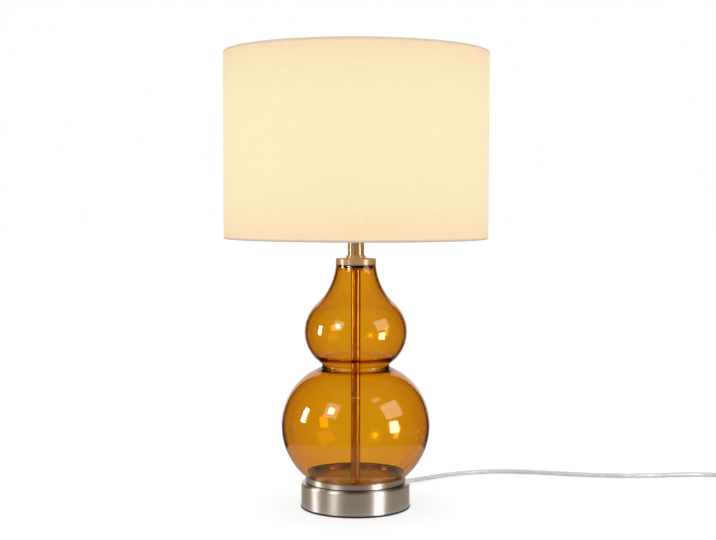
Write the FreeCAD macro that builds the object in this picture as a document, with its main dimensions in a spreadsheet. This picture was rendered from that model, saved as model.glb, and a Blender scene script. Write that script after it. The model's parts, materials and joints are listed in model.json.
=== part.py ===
import FreeCAD, Part
import math
import os
import Sketcher

# A double gourd table lamp: a nickel base drum and seat ring, a blown amber glass body in two bulbs
# clamped on a threaded pipe, a nickel neck, an E27 lampholder with its bulb, a drum shade on a
# three-armed carrier, and a clear flex with an inline switch, a tied coil and a two-pin plug.
# Millimetres. The origin is the middle of the pad's underside, +Z is up and the lamp is seen along +Y.

doc = FreeCAD.newDocument("double_gourd_lamp")
sheet = doc.addObject("Spreadsheet::Sheet", "Sizes")

DRIVING = [
    # base
    ("base_diameter", 116.0),
    ("pad_thickness", 2.0),
    ("pad_overhang", 0.5),
    ("base_height", 26.5),
    ("base_wall", 1.2),
    ("base_edge_radius", 2.4),
    ("weight_clearance", 2.3),
    ("weight_thickness", 13.0),
    ("boss_diameter", 36.0),
    ("recess_diameter", 27.0),
    ("recess_depth", 17.5),
    ("channel_width", 9.0),
    ("channel_depth", 10.5),
    # running gaps
    ("fit_gap", 0.3),
    ("pin_gap", 0.05),
    # threaded pipe and its fasteners
    ("pipe_diameter", 8.0),
    ("pipe_bore", 6.2),
    ("pipe_tail", 0.4),
    ("washer_diameter", 24.0),
    ("washer_thickness", 1.5),
    ("lock_washer_diameter", 15.0),
    ("lock_washer_thickness", 1.0),
    ("nut_width", 13.0),
    ("nut_thickness", 4.0),
    ("sleeve_diameter", 10.2),
    ("lower_sleeve_length", 88.5),
    ("sleeve_chamfer", 0.35),
    # cord outlet
    ("cord_diameter", 5.2),
    ("outlet_angle", 60.0),
    ("outlet_height", 8.0),
    ("relief_length", 22.0),
    ("relief_foot_diameter", 10.0),
    ("relief_tip_diameter", 7.6),
    ("relief_groove_depth", 0.6),
    ("relief_groove_width", 1.2),
    ("relief_groove_pitch", 3.6),
    ("grommet_flange_diameter", 11.4),
    ("grommet_flange", 1.1),
    ("grommet_neck_diameter", 7.6),
    ("cord_bend", 6.0),
    ("wire_diameter", 1.6),
    ("core_spacing", 2.4),
    # seat ring and gaskets
    ("seat_diameter", 107.0),
    ("seat_height", 6.8),
    ("seat_floor", 1.7),
    ("seat_rim", 1.8),
    ("seat_edge_radius", 0.45),
    ("seat_groove_height", 0.9),
    ("seat_groove_depth", 1.3),
    ("gasket_thickness", 1.2),
    ("gasket_width", 4.6),
    ("cap_gasket_thickness", 0.6),
    # blown glass body
    ("glass_wall", 3.0),
    ("lower_bulb_radius", 79.3),
    ("lower_bulb_rise", 58.6),
    ("shoulder_overhang", 3.07),
    ("lower_curve_above", 65.5),
    ("waist_curve", 3.0),
    ("bulb_spacing", 99.0),
    ("upper_bulb_radius", 54.9),
    ("upper_curve_below", 40.0),
    ("neck_radius", 21.2),
    ("neck_curve", 64.0),
    ("neck_rise", 77.0),
    ("neck_drop", 5.6),
    # top cap, collar and neck tube
    ("cap_diameter", 43.2),
    ("cap_height", 6.2),
    ("cap_plate", 1.5),
    ("cap_skirt", 1.4),
    ("cap_edge_radius", 0.8),
    ("spigot_depth", 5.0),
    ("spigot_wall", 1.4),
    ("collar_diameter", 20.5),
    ("collar_height", 3.2),
    ("collar_edge_radius", 0.64),
    ("neck_tube_diameter", 17.5),
    ("neck_tube_wall", 1.0),
    ("neck_tube_length", 23.6),
    # lampholder
    ("holder_cap_height", 20.0),
    ("holder_cap_diameter", 37.0),
    ("holder_cap_foot_diameter", 21.0),
    ("holder_cap_wall", 3.0),
    ("holder_cap_dome", 9.0),
    ("holder_nut_width", 12.0),
    ("holder_nut_thickness", 3.5),
    ("flange_rise", 4.0),
    ("flange_thickness", 2.6),
    ("flange_diameter", 45.0),
    ("skirt_diameter", 39.0),
    ("skirt_length", 31.0),
    ("holder_wall", 3.0),
    ("holder_lip", 2.0),
    ("insulator_thickness", 9.0),
    ("screw_shell_diameter", 27.9),
    ("screw_shell_wall", 0.45),
    ("screw_shell_length", 24.0),
    ("screw_shell_floor_hole", 16.6),
    ("spring_height", 3.2),
    ("spring_width", 6.0),
    ("spring_reach", 6.0),
    ("spring_heel", 3.9),
    ("spring_knee", 1.8),
    ("spring_strip", 0.5),
    ("terminal_spacing", 14.0),
    ("terminal_width", 6.0),
    ("terminal_depth", 8.0),
    ("terminal_height", 7.0),
    ("terminal_screw_diameter", 3.0),
    ("terminal_screw_length", 6.0),
    ("terminal_screw_head", 4.8),
    ("terminal_screw_head_height", 1.5),
    ("ring_nut_diameter", 48.0),
    ("ring_nut_height", 7.0),
    # shade
    ("shade_diameter", 280.0),
    ("shade_height", 196.0),
    ("shade_drop", 32.9),
    ("fabric_thickness", 0.5),
    ("rolled_edge_radius", 1.9),
    ("lining_thickness", 0.4),
    ("lining_gap", 0.2),
    ("ring_wire_diameter", 2.2),
    ("carrier_thickness", 1.6),
    ("carrier_diameter", 52.0),
    ("arm_count", 3.0),
    ("arm_wire_diameter", 2.6),
    ("arm_bend", 10.0),
    # bulb
    ("bulb_radius", 30.0),
    ("bulb_neck_radius", 12.4),
    ("bulb_neck_curve", 60.0),
    ("bulb_wall", 1.0),
    ("bulb_centre_rise", 55.0),
    ("bulb_neck_depth", 6.0),
    ("bulb_cap_diameter", 26.2),
    ("bulb_cap_wall", 0.4),
    ("bulb_cap_length", 18.5),
    ("bulb_insulator_diameter", 17.0),
    ("bulb_insulator_height", 2.6),
    ("bulb_contact_diameter", 9.6),
    ("bulb_contact_face", 6.8),
    ("bulb_contact_height", 0.9),
    # inline switch
    ("switch_x", 474.0),
    ("switch_y", 60.0),
    ("switch_length", 60.0),
    ("switch_width", 27.0),
    ("switch_end_width", 14.0),
    ("switch_taper", 13.0),
    ("switch_height", 18.0),
    ("switch_wall", 1.6),
    ("switch_edge_radius", 1.2),
    ("switch_corner_radius", 3.0),
    ("switch_boss_diameter", 6.4),
    ("switch_screw_diameter", 2.8),
    ("switch_screw_length", 13.0),
    ("switch_screw_head", 5.0),
    ("switch_screw_head_depth", 1.6),
    ("switch_screw_reach", 19.5),
    ("rocker_width", 10.8),
    ("rocker_radius", 9.8),
    ("rocker_corner", 4.3),
    ("rocker_dip", 3.2),
    ("rocker_underside", 2.4),
    ("rocker_pivot_height", 15.2),
    ("rocker_tilt", 7.0),
    ("rocker_pin_diameter", 2.0),
    ("rocker_ear", 2.0),
    ("rocker_ear_length", 6.0),
    ("rocker_ear_drop", 3.4),
    ("contact_width", 5.0),
    ("contact_strip", 0.8),
    ("contact_foot", 6.0),
    ("contact_reach", 6.5),
    ("contact_clearance", 2.0),
    ("cord_entry", 4.0),
    # straight ends of the flex on the table
    ("lead_straight", 14.0),
    ("lead_end", 8.0),
    ("run_straight", 9.0),
    ("run_fall", 19.0),
    ("tail_straight", 10.0),
    ("tail_end", 8.0),
    # coil and its tie
    ("coil_y", -20.0),
    ("coil_gap", 0.65),
    ("coil_outer_radius", 39.6),
    ("coil_turns", 6.0),
    ("tie_strap", 0.8),
    ("tie_width", 10.0),
    ("tie_slack", 1.1),
    ("tie_clearance", 0.2),
    # plug
    ("plug_y", -53.0),
    ("plug_body_length", 26.0),
    ("plug_neck_length", 11.0),
    ("plug_width", 35.3),
    ("plug_flat_width", 26.0),
    ("plug_thickness", 13.7),
    ("plug_waist_width", 21.0),
    ("plug_waist_thickness", 12.0),
    ("plug_waist_flat", 15.0),
    ("plug_neck_diameter", 8.4),
    ("plug_relief_length", 18.0),
    ("plug_relief_tip_diameter", 6.8),
    ("plug_pin_diameter", 4.0),
    ("plug_pin_length", 19.0),
    ("plug_pin_socket", 8.0),
    ("plug_pin_spacing", 19.0),
]


class Size:
    """A length held as a number and as the sheet expression that drives it."""

    def __init__(self, value, text):
        self.value = float(value)
        self.text = text

    def __add__(self, other):
        other = size(other)
        return Size(self.value + other.value, "(%s + %s)" % (self.text, other.text))

    def __sub__(self, other):
        other = size(other)
        return Size(self.value - other.value, "(%s - %s)" % (self.text, other.text))

    def __mul__(self, other):
        other = size(other)
        return Size(self.value * other.value, "(%s * %s)" % (self.text, other.text))

    def __truediv__(self, other):
        other = size(other)
        return Size(self.value / other.value, "(%s / %s)" % (self.text, other.text))

    def __neg__(self):
        return Size(-self.value, "(0 - %s)" % self.text)

    def root(self):
        return Size(math.sqrt(self.value), "sqrt(%s)" % self.text)


def size(value):
    """Turns a plain number into a Size; a Size comes back as it is."""
    return value if isinstance(value, Size) else Size(value, repr(float(value)))


class Sizes:
    """Every driving dimension of the sheet, by its alias."""


d = Sizes()
for row, (alias, number) in enumerate(DRIVING, start=1):
    sheet.set("A%d" % row, alias.replace("_", " "))
    sheet.set("B%d" % row, repr(number))
    sheet.setAlias("B%d" % row, alias)
    setattr(d, alias, Size(number, "Sizes." + alias))
doc.recompute()

# Levels up the lamp, each one stacked on the piece below it
weight_bottom = d.pad_thickness
recess_top = weight_bottom + d.recess_depth
shell_underside = d.base_height - d.base_wall
washer_bottom = recess_top - d.washer_thickness
lock_washer_bottom = washer_bottom - d.lock_washer_thickness
nut_bottom = lock_washer_bottom - d.nut_thickness
pipe_foot = nut_bottom - d.pipe_tail
seat_floor_top = d.base_height + d.seat_floor
seat_top = d.base_height + d.seat_height
glass_foot = seat_floor_top + d.gasket_thickness
glass_shoulder = seat_top + d.fit_gap
lower_level = glass_foot + d.lower_bulb_rise
upper_level = lower_level + d.bulb_spacing
neck_level = upper_level + d.neck_rise
glass_top = neck_level - d.neck_drop
cap_bottom = glass_top + d.cap_gasket_thickness
cap_top = cap_bottom + d.cap_height
cap_plate_bottom = cap_top - d.cap_plate
collar_top = cap_top + d.collar_height
holder_foot = collar_top + d.neck_tube_length
holder_split = holder_foot + d.holder_cap_height
flange_bottom = holder_split + d.flange_rise
flange_top = flange_bottom + d.flange_thickness
skirt_top = flange_top + d.skirt_length
insulator_top = holder_split + d.insulator_thickness
carrier_bottom = flange_top + d.fit_gap
carrier_top = carrier_bottom + d.carrier_thickness
ring_nut_bottom = carrier_top + d.fit_gap
shade_bottom = carrier_bottom - d.shade_drop
shade_top = shade_bottom + d.shade_height
bulb_foot = insulator_top + d.spring_height + d.fit_gap
bulb_insulator_bottom = bulb_foot + d.bulb_contact_height
bulb_cap_bottom = bulb_insulator_bottom + d.bulb_insulator_height
bulb_cap_top = bulb_cap_bottom + d.bulb_cap_length
bulb_centre = bulb_cap_top + d.bulb_centre_rise
pipe_top = holder_foot + d.holder_cap_wall + d.holder_nut_thickness + d.pipe_tail

# Radii that several pieces share
pipe_radius = d.pipe_diameter / 2
pipe_hole = pipe_radius + d.fit_gap
seat_inner = d.seat_diameter / 2 - d.seat_rim
glass_collar = seat_inner - d.fit_gap
skirt_radius = d.skirt_diameter / 2
carrier_bore = skirt_radius + d.fit_gap
holder_bore = skirt_radius - d.holder_wall
neck_reach = (d.neck_curve * d.neck_curve - (neck_level - glass_top) * (neck_level - glass_top)).root()
neck_inner = d.neck_radius + d.neck_curve - neck_reach - d.glass_wall
shell_outer = d.screw_shell_diameter / 2
# the lowest arc of the glass has its middle at the bulb's widest level and passes the shoulder
bulb_overhang = d.lower_bulb_radius - glass_collar - d.shoulder_overhang
shoulder_drop = lower_level - glass_shoulder
lower_curve_below = (bulb_overhang * bulb_overhang + shoulder_drop * shoulder_drop) / (bulb_overhang * 2)
cord_radius = d.cord_diameter / 2
cord_hole = cord_radius + d.pin_gap
outlet_hole = d.grommet_neck_diameter / 2 + d.fit_gap / 2

# The inline switch, the coil and the plug lie in one line
switch_split = d.switch_height / 2
coil_pitch = d.cord_diameter + d.coil_gap
coil_x = d.switch_x - d.coil_outer_radius
coil_low = d.tie_strap + d.tie_clearance + cord_radius
coil_high = coil_low + coil_pitch
plug_level = d.plug_thickness / 2

X_AXIS = FreeCAD.Vector(1, 0, 0)
Y_AXIS = FreeCAD.Vector(0, 1, 0)
Z_AXIS = FreeCAD.Vector(0, 0, 1)
NODES = []


def point(x, y, z):
    """A point from sizes or plain numbers."""
    return FreeCAD.Vector(size(x).value, size(y).value, size(z).value)


def new_body(name):
    """An empty body whose label becomes the piece's name."""
    body = doc.addObject("PartDesign::Body", name)
    body.Label = name
    NODES.append(body)
    return body


def new_solid(name, shape):
    """A piece whose shape is worked out below, such as a wound cord."""
    feature = doc.addObject("Part::Feature", name)
    feature.Label = name
    feature.Shape = shape
    NODES.append(feature)
    return feature


def new_sketch(body, name, plane="XZ_Plane", offset=0.0, turned=None, lift=0.0):
    """A sketch on one of the body's own origin planes, moved along its normal by the offset and
    along its upright by the lift, and turned by a sheet-driven angle where turned is (axis, angle)."""
    sketch = body.newObject("Sketcher::SketchObject", name)
    support = [item for item in body.Origin.OriginFeatures if item.Role == plane]
    sketch.AttachmentSupport = [(support[0], "")]
    sketch.MapMode = "FlatFace"
    offset = size(offset)
    lift = size(lift)
    axis, angle = turned or (Z_AXIS, size(0.0))
    sketch.AttachmentOffset = FreeCAD.Placement(
        FreeCAD.Vector(0, lift.value, offset.value), FreeCAD.Rotation(axis, angle.value)
    )
    sketch.setExpression("AttachmentOffset.Base.y", lift.text)
    sketch.setExpression("AttachmentOffset.Base.z", offset.text)
    if turned:
        sketch.setExpression("AttachmentOffset.Rotation.Angle", angle.text)
    return sketch


def bind(sketch, kind, geometry, end, length):
    """Ties one coordinate of a point to the sheet; a zero lies on the axis."""
    length = size(length)
    if abs(length.value) < 1e-9:
        axis = -2 if kind == "DistanceX" else -1
        sketch.addConstraint(Sketcher.Constraint("PointOnObject", geometry, end, axis))
        return
    rule = Sketcher.Constraint(kind, -1, 1, geometry, end, length.value)
    index = sketch.addConstraint(rule)
    sketch.setExpression("Constraints[%d]" % index, length.text)


def bind_radius(sketch, geometry, radius):
    """Ties the radius of an arc or a circle to the sheet."""
    radius = size(radius)
    index = sketch.addConstraint(Sketcher.Constraint("Radius", geometry, radius.value))
    sketch.setExpression("Constraints[%d]" % index, radius.text)


def join(sketch, first, first_end, second, second_end):
    """Makes two ends one point."""
    sketch.addConstraint(
        Sketcher.Constraint("Coincident", first, first_end, second, second_end)
    )


def add_arc(sketch, centre, radius, start, end):
    """An arc round the centre, anticlockwise from the start point to the end point."""
    first = math.atan2(start.y - centre.y, start.x - centre.x)
    last = math.atan2(end.y - centre.y, end.x - centre.x)
    circle = Part.Circle(centre, Z_AXIS, radius)
    return sketch.addGeometry(Part.ArcOfCircle(circle, first, last), False)


def outline(sketch, corners, closed=True):
    """Lines and arcs through the corners. A corner is (x, y), or (x, y, radius, side) where the
    stretch that leaves it is an arc whose centre lies left (1) or right (-1) of the way on."""
    spans = len(corners) if closed else len(corners) - 1
    pieces = []
    for index in range(spans):
        here = corners[index]
        there = corners[(index + 1) % len(corners)]
        a = FreeCAD.Vector(size(here[0]).value, size(here[1]).value, 0)
        b = FreeCAD.Vector(size(there[0]).value, size(there[1]).value, 0)
        if len(here) == 2:
            pieces.append((sketch.addGeometry(Part.LineSegment(a, b), False), 1, 2))
            continue
        radius, side = here[2], here[3]
        radius = size(radius)
        way = b - a
        across = FreeCAD.Vector(-way.y, way.x, 0) / way.Length
        rise = math.sqrt(max(radius.value**2 - (way.Length / 2) ** 2, 0.0))
        centre = (a + b) / 2 + across * side * rise
        if side > 0:
            pieces.append((add_arc(sketch, centre, radius.value, a, b), 1, 2))
        else:
            pieces.append((add_arc(sketch, centre, radius.value, b, a), 2, 1))
        bind_radius(sketch, pieces[-1][0], radius)
    for index, (geometry, start, end) in enumerate(pieces):
        bind(sketch, "DistanceX", geometry, start, corners[index][0])
        bind(sketch, "DistanceY", geometry, start, corners[index][1])
        if index + 1 < len(pieces):
            join(sketch, geometry, end, pieces[index + 1][0], pieces[index + 1][1])
    last = pieces[-1]
    if closed:
        join(sketch, last[0], last[2], pieces[0][0], pieces[0][1])
    else:
        bind(sketch, "DistanceX", last[0], last[2], corners[-1][0])
        bind(sketch, "DistanceY", last[0], last[2], corners[-1][1])


def circle(sketch, x, y, radius):
    """A circle with its centre and radius tied to the sheet."""
    radius = size(radius)
    centre = FreeCAD.Vector(size(x).value, size(y).value, 0)
    geometry = sketch.addGeometry(Part.Circle(centre, Z_AXIS, radius.value), False)
    bind(sketch, "DistanceX", geometry, 3, x)
    bind(sketch, "DistanceY", geometry, 3, y)
    bind_radius(sketch, geometry, radius)


def rectangle(sketch, x0, y0, x1, y1):
    """A rectangle between two corners."""
    outline(sketch, [(x0, y0), (x1, y0), (x1, y1), (x0, y1)])


def turn(body, sketch, kind="PartDesign::Revolution", axis="V_Axis"):
    """Turns a profile a full circle round one of the sketch's axes, the upright one by default."""
    feature = body.newObject(kind, "Turned" if kind.endswith("Revolution") else "TurnedOut")
    feature.Profile = sketch
    feature.ReferenceAxis = (sketch, [axis])
    feature.Angle = 360
    return feature


def pad(body, sketch, length, symmetric=False):
    """Pads a profile by a length, or by half of it to each side."""
    feature = body.newObject("PartDesign::Pad", "Pad")
    feature.Profile = sketch
    feature.Length = size(length).value
    feature.setExpression("Length", size(length).text)
    if symmetric:
        feature.SideType = "Symmetric"
    return feature


def pocket(body, sketch, length, backwards=False):
    """Cuts a profile by a length and makes sure that the cut took something away."""
    before = body.Tip
    doc.recompute()
    volume = before.Shape.Volume
    feature = body.newObject("PartDesign::Pocket", "Pocket")
    feature.Profile = sketch
    feature.Length = size(length).value
    feature.setExpression("Length", size(length).text)
    feature.Reversed = backwards
    doc.recompute()
    if feature.Shape.Volume > volume - 1e-6:
        raise RuntimeError("the cut in %s takes nothing away" % body.Label)
    return feature


def round_rims(body, radius, rims):
    """Fillets the circular edges of the tip that lie at the given (radius, height) pairs."""
    doc.recompute()
    tip = body.Tip
    names = []
    for index, edge in enumerate(tip.Shape.Edges, start=1):
        curve = edge.Curve
        if not isinstance(curve, Part.Circle):
            continue
        for rim, level in rims:
            near = abs(curve.Radius - size(rim).value) < 1e-4
            if near and abs(curve.Center.z - size(level).value) < 1e-4:
                names.append("Edge%d" % index)
    if not names:
        raise RuntimeError("no rim to round on %s" % body.Label)
    feature = body.newObject("PartDesign::Fillet", "RoundedRims")
    feature.Base = (tip, names)
    feature.Radius = size(radius).value
    feature.setExpression("Radius", size(radius).text)
    return feature


def move(piece, x, y, z):
    """Places a piece by sheet-driven distances."""
    for axis, length in (("x", x), ("y", y), ("z", z)):
        piece.setExpression("Placement.Base." + axis, size(length).text)


def turned_body(name, corners):
    """A body turned from one closed half-section."""
    body = new_body(name)
    sketch = new_sketch(body, name + "_section")
    outline(sketch, corners)
    turn(body, sketch)
    return body


def ring_body(name, inner, outer, bottom, top):
    """A flat or tall ring of rectangular section."""
    corners = [(inner, bottom), (outer, bottom), (outer, top), (inner, top)]
    return turned_body(name, corners)


def hex_nut(name, width, bottom, thickness):
    """A hexagon nut round the pipe."""
    body = new_body(name)
    sketch = new_sketch(body, name + "_hexagon", "XY_Plane", bottom)
    corner = width / math.sqrt(3)
    half = width / 2
    outline(
        sketch,
        [
            (corner, 0),
            (corner / 2, half),
            (-corner / 2, half),
            (-corner, 0),
            (-corner / 2, -half),
            (corner / 2, -half),
        ],
    )
    circle(sketch, 0, 0, pipe_hole)
    pad(body, sketch, thickness)
    return body


# Base: pad, spun shell, cast weight and the fasteners under it


def make_base():
    pad_radius = d.base_diameter / 2 + d.pad_overhang
    turned_body(
        "base_pad",
        [(0, 0), (pad_radius, 0), (pad_radius, d.pad_thickness), (0, d.pad_thickness)],
    )

    outer = d.base_diameter / 2
    inner = outer - d.base_wall
    shell = turned_body(
        "base_shell",
        [
            (outer, d.pad_thickness),
            (outer, d.base_height),
            (pipe_hole, d.base_height),
            (pipe_hole, shell_underside),
            (inner, shell_underside),
            (inner, d.pad_thickness),
        ],
    )
    round_rims(shell, d.base_edge_radius, [(outer, d.base_height)])
    drill_outlet(shell, outer)

    weight_radius = inner - d.weight_clearance
    boss = d.boss_diameter / 2
    recess = d.recess_diameter / 2
    floor_top = weight_bottom + d.weight_thickness
    weight = turned_body(
        "base_weight",
        [
            (recess, weight_bottom),
            (weight_radius, weight_bottom),
            (weight_radius, floor_top),
            (boss, floor_top),
            (boss, shell_underside),
            (pipe_hole, shell_underside),
            (pipe_hole, recess_top),
            (recess, recess_top),
        ],
    )
    channel = new_sketch(weight, "channel", "XY_Plane", weight_bottom, (Z_AXIS, d.outlet_angle))
    half = d.channel_width / 2
    rectangle(channel, 0, -half, weight_radius + half, half)
    pocket(weight, channel, d.channel_depth, backwards=True)

    ring_body("base_washer", pipe_hole, d.washer_diameter / 2, washer_bottom, recess_top)
    ring_body(
        "base_lock_washer",
        pipe_hole,
        d.lock_washer_diameter / 2,
        lock_washer_bottom,
        washer_bottom,
    )
    hex_nut("base_nut", d.nut_width, nut_bottom, d.nut_thickness)


def drill_outlet(shell, outer):
    """The round hole in the drum's side wall that the grommet sits in."""
    turned = (Y_AXIS, d.outlet_angle - 90)
    sketch = new_sketch(shell, "outlet", "XZ_Plane", 0, turned)
    circle(sketch, 0, d.outlet_height, outlet_hole)
    pocket(shell, sketch, outer + d.fit_gap)


def make_grommet():
    """A rubber grommet in the drum's side wall with a tapered, grooved strain relief."""
    body = new_body("cord_grommet")
    turned = (Y_AXIS, d.outlet_angle)
    sketch = new_sketch(body, "grommet_section", "XZ_Plane", 0, turned, d.outlet_height)
    wall_out = d.base_diameter / 2
    seat_out = wall_out + d.fit_gap / 2
    seat_in = wall_out - d.base_wall - d.fit_gap * 1.5
    flange = d.grommet_flange_diameter / 2
    neck = d.grommet_neck_diameter / 2
    foot = d.relief_foot_diameter / 2
    tip = d.relief_tip_diameter / 2
    end = wall_out + d.relief_length
    corners = [
        (seat_in - d.grommet_flange, cord_hole),
        (end, cord_hole),
        (end, tip),
    ]
    relief_start = seat_out + d.grommet_flange
    slope = (foot - tip) / (end - relief_start)
    for index in (3, 2, 1):
        groove = relief_start + d.relief_groove_pitch * index
        before = groove - d.relief_groove_width
        for along, depth in ((groove, 0), (groove, d.relief_groove_depth)):
            corners.append((along, foot - slope * (along - relief_start) - depth))
        for along, depth in ((before, d.relief_groove_depth), (before, 0)):
            corners.append((along, foot - slope * (along - relief_start) - depth))
    corners += [
        (relief_start, foot),
        (relief_start, flange),
        (seat_out, flange),
        (seat_out, neck),
        (seat_in, neck),
        (seat_in, flange),
        (seat_in - d.grommet_flange, flange),
    ]
    outline(sketch, corners)
    turn(body, sketch, axis="H_Axis")


# Glass body, its seat ring and gaskets


def gourd_outline(sketch, inset, bottom, top):
    """Half of the double gourd, closed along the axis: six arcs, each tangent to the next. The
    inset moves the whole outline inwards, which gives the inside face of the wall."""
    low_r = d.lower_bulb_radius - inset
    high_r = d.upper_bulb_radius - inset
    below = lower_curve_below - inset
    above = d.lower_curve_above - inset
    rise = d.upper_curve_below - inset
    waist = d.waist_curve + inset
    neck_bend = d.neck_curve + inset
    neck_x = d.neck_radius + d.neck_curve
    collar = glass_collar - inset

    low = lower_level.value
    high = upper_level.value
    neck = neck_level.value
    low_centre = point(low_r - below, low, 0)
    low_centre_above = point(low_r - above, low, 0)
    high_centre = point(high_r - rise, high, 0)
    neck_centre = point(neck_x, neck, 0)

    # the arc above the upper bulb touches the neck's arc, which gives its radius
    gap = neck_x.value - high_r.value
    span = neck - high
    shoulder = (neck_bend.value**2 - gap**2 - span**2) / (2 * (gap - neck_bend.value))
    shoulder_centre = point(high_r.value - shoulder, high, 0)
    way = neck_centre - shoulder_centre
    meeting = shoulder_centre + way * (shoulder / way.Length)

    # the waist's arc touches the bulb below it and the bulb above it
    reach_low = above.value + waist.value
    reach_high = rise.value + waist.value
    between = high_centre - low_centre_above
    along = (between.Length**2 + reach_low**2 - reach_high**2) / (2 * between.Length)
    across = math.sqrt(reach_low**2 - along**2)
    unit = between / between.Length
    waist_centre = low_centre_above + unit * along + point(unit.y, -unit.x, 0) * across
    low_touch = low_centre_above + (waist_centre - low_centre_above) * (above.value / reach_low)
    high_touch = high_centre + (waist_centre - high_centre) * (rise.value / reach_high)

    if inset.value:
        start_x = collar.value
        start_y = low - math.sqrt(below.value**2 - (start_x - low_centre.x) ** 2)
    else:
        start_y = glass_shoulder.value
        start_x = low_centre.x + math.sqrt(below.value**2 - (low - start_y) ** 2)
    end_x = neck_centre.x - math.sqrt(neck_bend.value**2 - (neck - top.value) ** 2)
    start = point(start_x, start_y, 0)
    low_side = point(low_r, low, 0)
    high_side = point(high_r, high, 0)
    end = point(end_x, top, 0)

    arcs = [
        add_arc(sketch, low_centre, below.value, start, low_side),
        add_arc(sketch, low_centre_above, above.value, low_side, low_touch),
        add_arc(sketch, waist_centre, waist.value, high_touch, low_touch),
        add_arc(sketch, high_centre, rise.value, high_touch, high_side),
        add_arc(sketch, shoulder_centre, shoulder, high_side, meeting),
        add_arc(sketch, neck_centre, neck_bend.value, end, meeting),
    ]
    lower, upper, tuck, bowl, crown, throat = arcs
    tangent = [
        (upper, 2, tuck, 2),
        (tuck, 1, bowl, 1),
        (crown, 2, throat, 2),
    ]
    join(sketch, lower, 2, upper, 1)
    join(sketch, bowl, 2, crown, 1)
    for first, first_end, second, second_end in tangent:
        rule = Sketcher.Constraint("Tangent", first, first_end, second, second_end)
        sketch.addConstraint(rule)
    for arc, radius in zip(arcs, (below, above, waist, rise, None, neck_bend)):
        if radius:
            bind_radius(sketch, arc, radius)
    levels = ((lower, lower_level), (upper, lower_level), (bowl, upper_level), (crown, upper_level))
    for arc, level in levels:
        bind(sketch, "DistanceY", arc, 3, level)
    for arc, radius, level in ((lower, low_r, lower_level), (bowl, high_r, upper_level)):
        bind(sketch, "DistanceX", arc, 2, radius)
        bind(sketch, "DistanceY", arc, 2, level)
    bind(sketch, "DistanceX", throat, 3, neck_x)
    bind(sketch, "DistanceY", throat, 3, neck_level)
    bind(sketch, "DistanceY", throat, 1, top)

    # straight runs: across the top, down the axis, out to the collar and up to the lowest arc
    corners = [end, point(0, top, 0), point(0, bottom, 0), point(collar, bottom, 0)]
    if not inset.value:
        corners.append(point(collar, start_y, 0))
    corners.append(start)
    lines = []
    for a, b in zip(corners, corners[1:]):
        lines.append(sketch.addGeometry(Part.LineSegment(a, b), False))
    join(sketch, throat, 1, lines[0], 1)
    for a, b in zip(lines, lines[1:]):
        join(sketch, a, 2, b, 1)
    join(sketch, lines[-1], 2, lower, 1)
    bind(sketch, "DistanceX", lines[0], 2, 0)
    bind(sketch, "DistanceY", lines[0], 2, top)
    bind(sketch, "DistanceX", lines[1], 2, 0)
    bind(sketch, "DistanceY", lines[1], 2, bottom)
    bind(sketch, "DistanceX", lines[2], 2, collar)
    bind(sketch, "DistanceY", lines[2], 2, bottom)
    bind(sketch, "DistanceX", lines[3], 2, collar)
    if not inset.value:
        bind(sketch, "DistanceY", lines[3], 2, glass_shoulder)
        bind(sketch, "DistanceY", lower, 1, glass_shoulder)


def make_glass():
    body = new_body("glass_body")
    outside = new_sketch(body, "outside")
    gourd_outline(outside, size(0.0), glass_foot, glass_top)
    turn(body, outside)
    inside = new_sketch(body, "inside")
    gourd_outline(inside, d.glass_wall, glass_foot - d.fit_gap, glass_top + d.fit_gap)
    turn(body, inside, "PartDesign::Groove")
    doc.recompute()
    if body.Shape.Volume > 0.5 * outside_volume(body):
        raise RuntimeError("the glass is not hollow")

    outer = d.seat_diameter / 2
    groove_top = d.base_height + d.seat_groove_height
    seat = turned_body(
        "seat_ring",
        [
            (pipe_hole, d.base_height),
            (outer - d.seat_groove_depth, d.base_height),
            (outer - d.seat_groove_depth, groove_top),
            (outer, groove_top),
            (outer, seat_top),
            (seat_inner, seat_top),
            (seat_inner, seat_floor_top),
            (pipe_hole, seat_floor_top),
        ],
    )
    round_rims(seat, d.seat_edge_radius, [(outer, seat_top), (seat_inner, seat_top)])
    gasket_inner = glass_collar - d.gasket_width
    ring_body("seat_gasket", gasket_inner, glass_collar, seat_floor_top, glass_foot)


def outside_volume(body):
    """The volume that the glass would have if it were not hollow."""
    return body.Group[1].Shape.Volume


# Stem, top cap, collar and neck tube


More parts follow.
